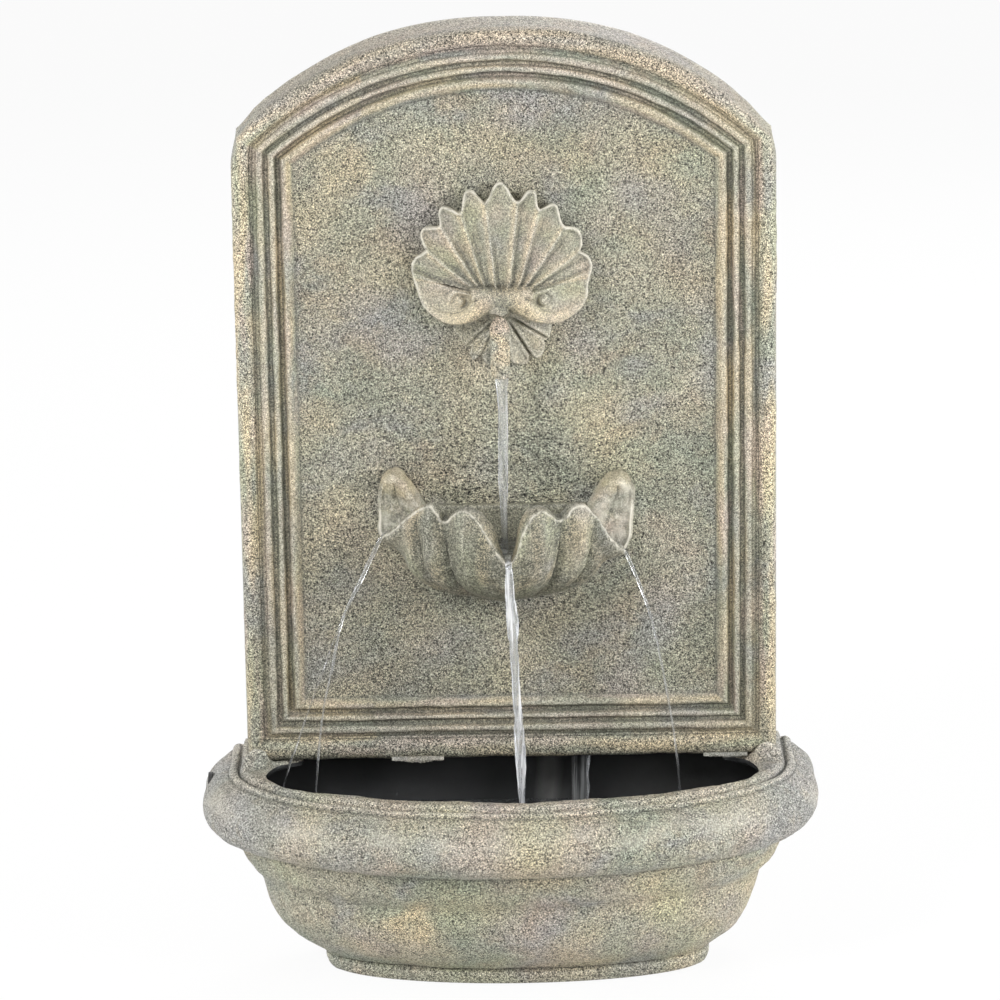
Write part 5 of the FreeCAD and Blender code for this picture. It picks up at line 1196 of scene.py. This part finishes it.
# falling streams: across, depth, height, half width across, half thickness
FALL = ((-4.5, 78, 455, 3.4, 3.4), (-4.1, 78, 449.4, 3.9, 3.7), (-3.6, 78.2, 446, 4.6, 3.4),
        (-3.4, 78.6, 436, 3.9, 2.8), (-3, 79, 420, 3.5, 2.6), (-3.2, 80, 395, 3.5, 2.5), (-3.5, 81, 372, 3.3, 2.4),
        (-3.3, 82, 350, 2.5, 2.2), (-3.2, 82.5, 334, 2.3, 2.1), (-3.2, 82.8, 321, 2.8, 2.6))
OVERFLOW = ((-0.8, 100, 322.6, 2.2, 1), (-0.8, 110, 322.8, 2.4, 1.3), (-0.7, 117.5, 322.6, 2.4, 1.6),
            (-0.6, 121.4, 318.6, 2.4, 1.9), (-0.2, 122.4, 311, 2.9, 2.1), (0.8, 122.8, 296, 3.7, 2.4),
            (1.7, 123.6, 276, 3.9, 2.5), (2.6, 124.2, 256, 3, 2.5), (4, 125.2, 224, 2.8, 2.4),
            (5.2, 126.2, 198, 3.4, 2.3), (6.2, 127, 175, 3.5, 2.2), (6.6, 128, 150, 2, 2), (6.8, 128.6, 130, 2.2, 2),
            (6.9, 129, 110.5, 2.6, 2.4))
LEFT_THREAD = ((-86, 74, 336, 1.2, 0.8), (-91.5, 76.5, 331.5, 1.5, 0.9), (-96, 78.6, 323, 1.6, 1),
               (-105.8, 81, 302.4, 1.5, 1), (-120.7, 84.5, 272.5, 1.2, 0.9), (-127.8, 87, 239.9, 1, 0.9),
               (-134.1, 89, 214.3, 0.8, 0.8), (-138.4, 91, 184.9, 0.8, 0.8), (-142.1, 92.5, 147.8, 0.9, 0.8),
               (-144.8, 93.5, 110.5, 0.9, 0.9))
SECOND_THREAD = ((-93, 76.5, 330, 0.6, 0.6), (-99.5, 77, 318, 0.7, 0.6), (-119, 76, 276, 0.5, 0.5),
                 (-141, 73, 218, 0.45, 0.45), (-161.6, 70, 160.1, 0.8, 0.7), (-166.4, 69.5, 144.2, 0.8, 0.7),
                 (-171, 69, 110.5, 0.8, 0.8))
RIGHT_THREAD = ((77, 73, 325, 1.2, 0.8), (82.4, 77, 319.6, 1.6, 0.9), (86.6, 78.8, 311.5, 1.6, 1),
                (93.5, 80.5, 294.2, 1.3, 0.9), (101.9, 83, 268.8, 1.1, 0.8), (109.5, 85.5, 232.2, 0.9, 0.8),
                (117.7, 88.5, 180.4, 0.8, 0.8), (120.4, 90.5, 150.7, 1, 0.9), (122.6, 92, 110.5, 1, 0.9))
HOSE_TRICKLE = ((56.2, 41, 156.5, 0.8, 0.6), (56, 41.3, 150, 0.9, 0.7), (55.2, 41.4, 141, 0.7, 0.6),
                (55.6, 41.6, 131, 1, 0.8), (54.8, 41.6, 121, 0.8, 0.7), (55, 41.8, 111.5, 1.2, 0.9))


def make_stream(name, stations, seed, ripple, material, fine=1.0):
    """A falling thread of water: an oval section that swells, thins and twists a little on its way down."""
    line = spline(stations, 12)
    turns, points = 20, []
    for across, depth, height, wide, thick in line:
        wide, thick = wide * fine, thick * fine
        for step in range(turns):
            angle = 2 * math.pi * step / turns
            wave = noise.noise(Vector((height * 0.055, math.cos(angle) * 0.9, math.sin(angle) * 0.9 + seed)))
            beat = noise.noise(Vector((height * 0.16, math.cos(angle) * 1.3 + seed, math.sin(angle) * 1.3)))
            size = 1 + ripple * (1.3 * wave + 0.8 * beat)
            points.append((across + wide * size * math.cos(angle), depth + thick * size * math.sin(angle), height))
    stream = add_piece(name, points, grid_faces(len(line), turns, True) + caps(len(line), turns), 70)
    return finish_piece(stream, material, "water")


def add_sheet(name, outline, centre, level, rings, landings, thick=3.0):
    """A water surface with rings round the places where streams fall in; closed underneath."""
    outline = np.asarray(outline, float)[:, :2]
    count = len(outline)
    share = np.linspace(0, 1, rings)[1:, None, None]
    plan = (centre + (outline - centre) * share).reshape(-1, 2)
    plan = np.vstack([plan, outline, [centre]])
    height = np.full(len(plan), float(level))
    for x, depth, strength in landings:
        far = np.hypot(plan[:, 0] - x, plan[:, 1] - depth)
        height += strength * np.cos(far * 0.75) * np.exp(-far / 16.0)
    height += 0.18 * bumps(np.column_stack([plan, height * 0]), 22.0, 131)
    rows = rings - 1
    height[rows * count:(rows + 1) * count] = level - thick
    points = np.column_stack([plan, height])
    sheet = add_piece(name, points, disc_faces(rows + 1, count, len(points) - 1), 60)
    return finish_piece(sheet, still_water, "water")


def bowl_water_edge():
    """Where the bowl's inside meets the water's level."""
    inner = spline(BOWL_INNER, 4)
    level = np.clip((BOWL_WATER - BOWL_FLOOR) / np.maximum(inner[:, 2] - BOWL_FLOOR, 1.0), 0.0, 1.0)
    shrink = bowl_shrink(level)
    x = BOWL_BACK + (inner[:, 0] - BOWL_BACK) * shrink
    depth = np.maximum(FIELD + 4 + (inner[:, 1] - FIELD - 4) * shrink, FIELD + 4.5) + 0.4
    back = [(a, FIELD + 4.5) for a in np.linspace(x[-1], x[0], 30)[1:-1]]
    return [(a, b) for a, b in zip(x, depth)] + back


make_stream("stream_spout", FALL, 3.0, 0.08, clear_water)
make_stream("stream_notch", OVERFLOW, 8.0, 0.24, falling_water)
make_stream("thread_left", LEFT_THREAD, 13.0, 0.3, thread_water, 0.8)
make_stream("thread_left_thin", SECOND_THREAD, 17.0, 0.4, thread_water, 0.8)
make_stream("thread_right", RIGHT_THREAD, 21.0, 0.3, thread_water, 0.8)
make_stream("hose_trickle", HOSE_TRICKLE, 23.0, 0.5, falling_water)
add_sheet("bowl_water", bowl_water_edge(), np.array((BOWL_BACK, 74.0)), BOWL_WATER, 30, ((-3.2, 82.8, 0.9),), 2.5)
add_sheet("basin_water", basin_loop(17.2, WATER_LEVEL, 8.6), np.array((0.0, 74.0)), WATER_LEVEL, 60,
          ((6.9, 129.0, 1.1), (-144.8, 93.5, 0.5), (-171.0, 69.0, 0.4), (122.6, 92.0, 0.5)))


def make_flash(name, first, last, drop, seed):
    """Uneven flash of resin left along the panel's bottom edge."""
    xs = np.linspace(first, last, 44)
    fade = np.sin(np.linspace(0.04, math.pi - 0.04, len(xs))) ** 0.5
    # depth and height of each row; the rows without a height make the ragged lower edge
    section = ((47.0, 158.5), (49.4, 158.0), (50.2, 156.0), (49.6, None), (47.4, None), (46.0, 157.0))
    points = []
    for depth, top in section:
        for x, f in zip(xs, fade):
            ragged = noise.noise(Vector((x * 0.13, seed, 0))) + 0.6 * noise.noise(Vector((x * 0.5, seed, 3)))
            low = 156.2 - drop * f * (1 + 0.9 * ragged)
            points.append((x, depth + 0.5 * ragged * f, low if top is None else top))
    flash = add_piece(name, points, strip_faces(len(section), len(xs)), 60)
    mark_relief(flash, 1.0, 1)
    store(flash, "ash", np.full(len(flash.data.vertices), 0.6))
    store(flash, "damp_and_shade", np.clip(0.25 + 0.5 * bumps(millimetres(flash), 6.0, seed), 0, 0.7))
    return finish_piece(flash, stone_smooth, "cast_stone")


make_flash("resin_flash_left", -88.0, -50.0, 1.9, 141)
make_flash("resin_flash_right", 140.0, 172.0, 1.3, 143)


# ---------------------------------------------------------------- stage, light and camera


def direct_rays(tree):
    """1 for rays from the camera, in reflections and through clear parts, which see a plain white studio."""
    path = tree.nodes.new("ShaderNodeLightPath")
    total = path.outputs["Is Camera Ray"]
    for name in ("Is Glossy Ray", "Is Transmission Ray"):
        larger = tree.nodes.new("ShaderNodeMath")
        larger.operation = "MAXIMUM"
        tree.links.new(total, larger.inputs[0])
        tree.links.new(path.outputs[name], larger.inputs[1])
        total = larger.outputs[0]
    return total


def make_stage():
    mesh = bpy.data.meshes.new("floor")
    mesh.from_pydata([(-14, -14, 0), (14, -14, 0), (14, 14, 0), (-14, 14, 0)], [], [(0, 1, 2, 3)])
    floor = bpy.data.objects.new("floor", mesh)
    scene.collection.objects.link(floor)
    floor.location.z = -0.0004
    material = bpy.data.materials.new("pale_floor")
    material.use_nodes = True
    tree = material.node_tree
    surface = tree.nodes["Principled BSDF"]
    surface.inputs["Base Color"].default_value = (0.86, 0.86, 0.86, 1)
    surface.inputs["Roughness"].default_value = 0.9
    glow = tree.nodes.new("ShaderNodeEmission")
    glow.inputs["Strength"].default_value = 1.0
    seen = tree.nodes.new("ShaderNodeMath")
    seen.operation = "MULTIPLY"
    seen.inputs[1].default_value = 0.92
    tree.links.new(direct_rays(tree), seen.inputs[0])
    mix = tree.nodes.new("ShaderNodeMixShader")
    tree.links.new(seen.outputs[0], mix.inputs[0])
    tree.links.new(surface.outputs[0], mix.inputs[1])
    tree.links.new(glow.outputs[0], mix.inputs[2])
    tree.links.new(mix.outputs[0], tree.nodes["Material Output"].inputs["Surface"])
    mesh.materials.append(material)


def make_world():
    world = bpy.data.worlds.new("studio")
    scene.world = world
    world.use_nodes = True
    tree = world.node_tree
    back = tree.nodes["Background"]
    back.inputs["Color"].default_value = (1, 1, 1, 1)
    level = tree.nodes.new("ShaderNodeMapRange")
    tree.links.new(direct_rays(tree), level.inputs[0])
    level.inputs[3].default_value = 0.48
    level.inputs[4].default_value = 1.0
    tree.links.new(level.outputs[0], back.inputs["Strength"])


def add_lamp(name, place, target, size, power):
    data = bpy.data.lights.new(name, "AREA")
    data.shape, data.size, data.energy = "DISK", size, power
    lamp = bpy.data.objects.new(name, data)
    scene.collection.objects.link(lamp)
    lamp.location = place
    lamp.rotation_euler = (Vector(target) - Vector(place)).to_track_quat("-Z", "Y").to_euler()


def add_camera():
    data = bpy.data.cameras.new("camera")
    data.lens, data.sensor_width, data.shift_x = 158.7, 36.0, -0.0084
    data.clip_start, data.clip_end = 0.1, 60.0
    camera = bpy.data.objects.new("camera", data)
    scene.collection.objects.link(camera)
    turn = Matrix.Rotation(math.radians(76), 4, "X") @ Matrix.Rotation(math.radians(-0.84), 4, "Z")
    camera.matrix_world = Matrix.Translation((0.0, -3.1335, 1.1200)) @ turn
    scene.camera = camera


make_stage()
make_world()
add_lamp("key", (-1.7, -2.2, 2.2), (0, 0, 0.35), 0.9, 52)
add_lamp("fill", (2.4, -2.0, 1.3), (0, 0, 0.3), 1.4, 44)
add_lamp("side_left", (-2.6, -0.5, 0.8), (0, 0, 0.3), 1.2, 25)
add_lamp("side_right", (2.6, -0.5, 0.8), (0, 0, 0.3), 1.2, 36)
add_lamp("rear", (0.6, 2.6, 2.2), (0, 0, 0.35), 1.6, 40)
add_camera()
bpy.context.scene.camera = scene.camera
scene.view_settings.view_transform = "Standard"
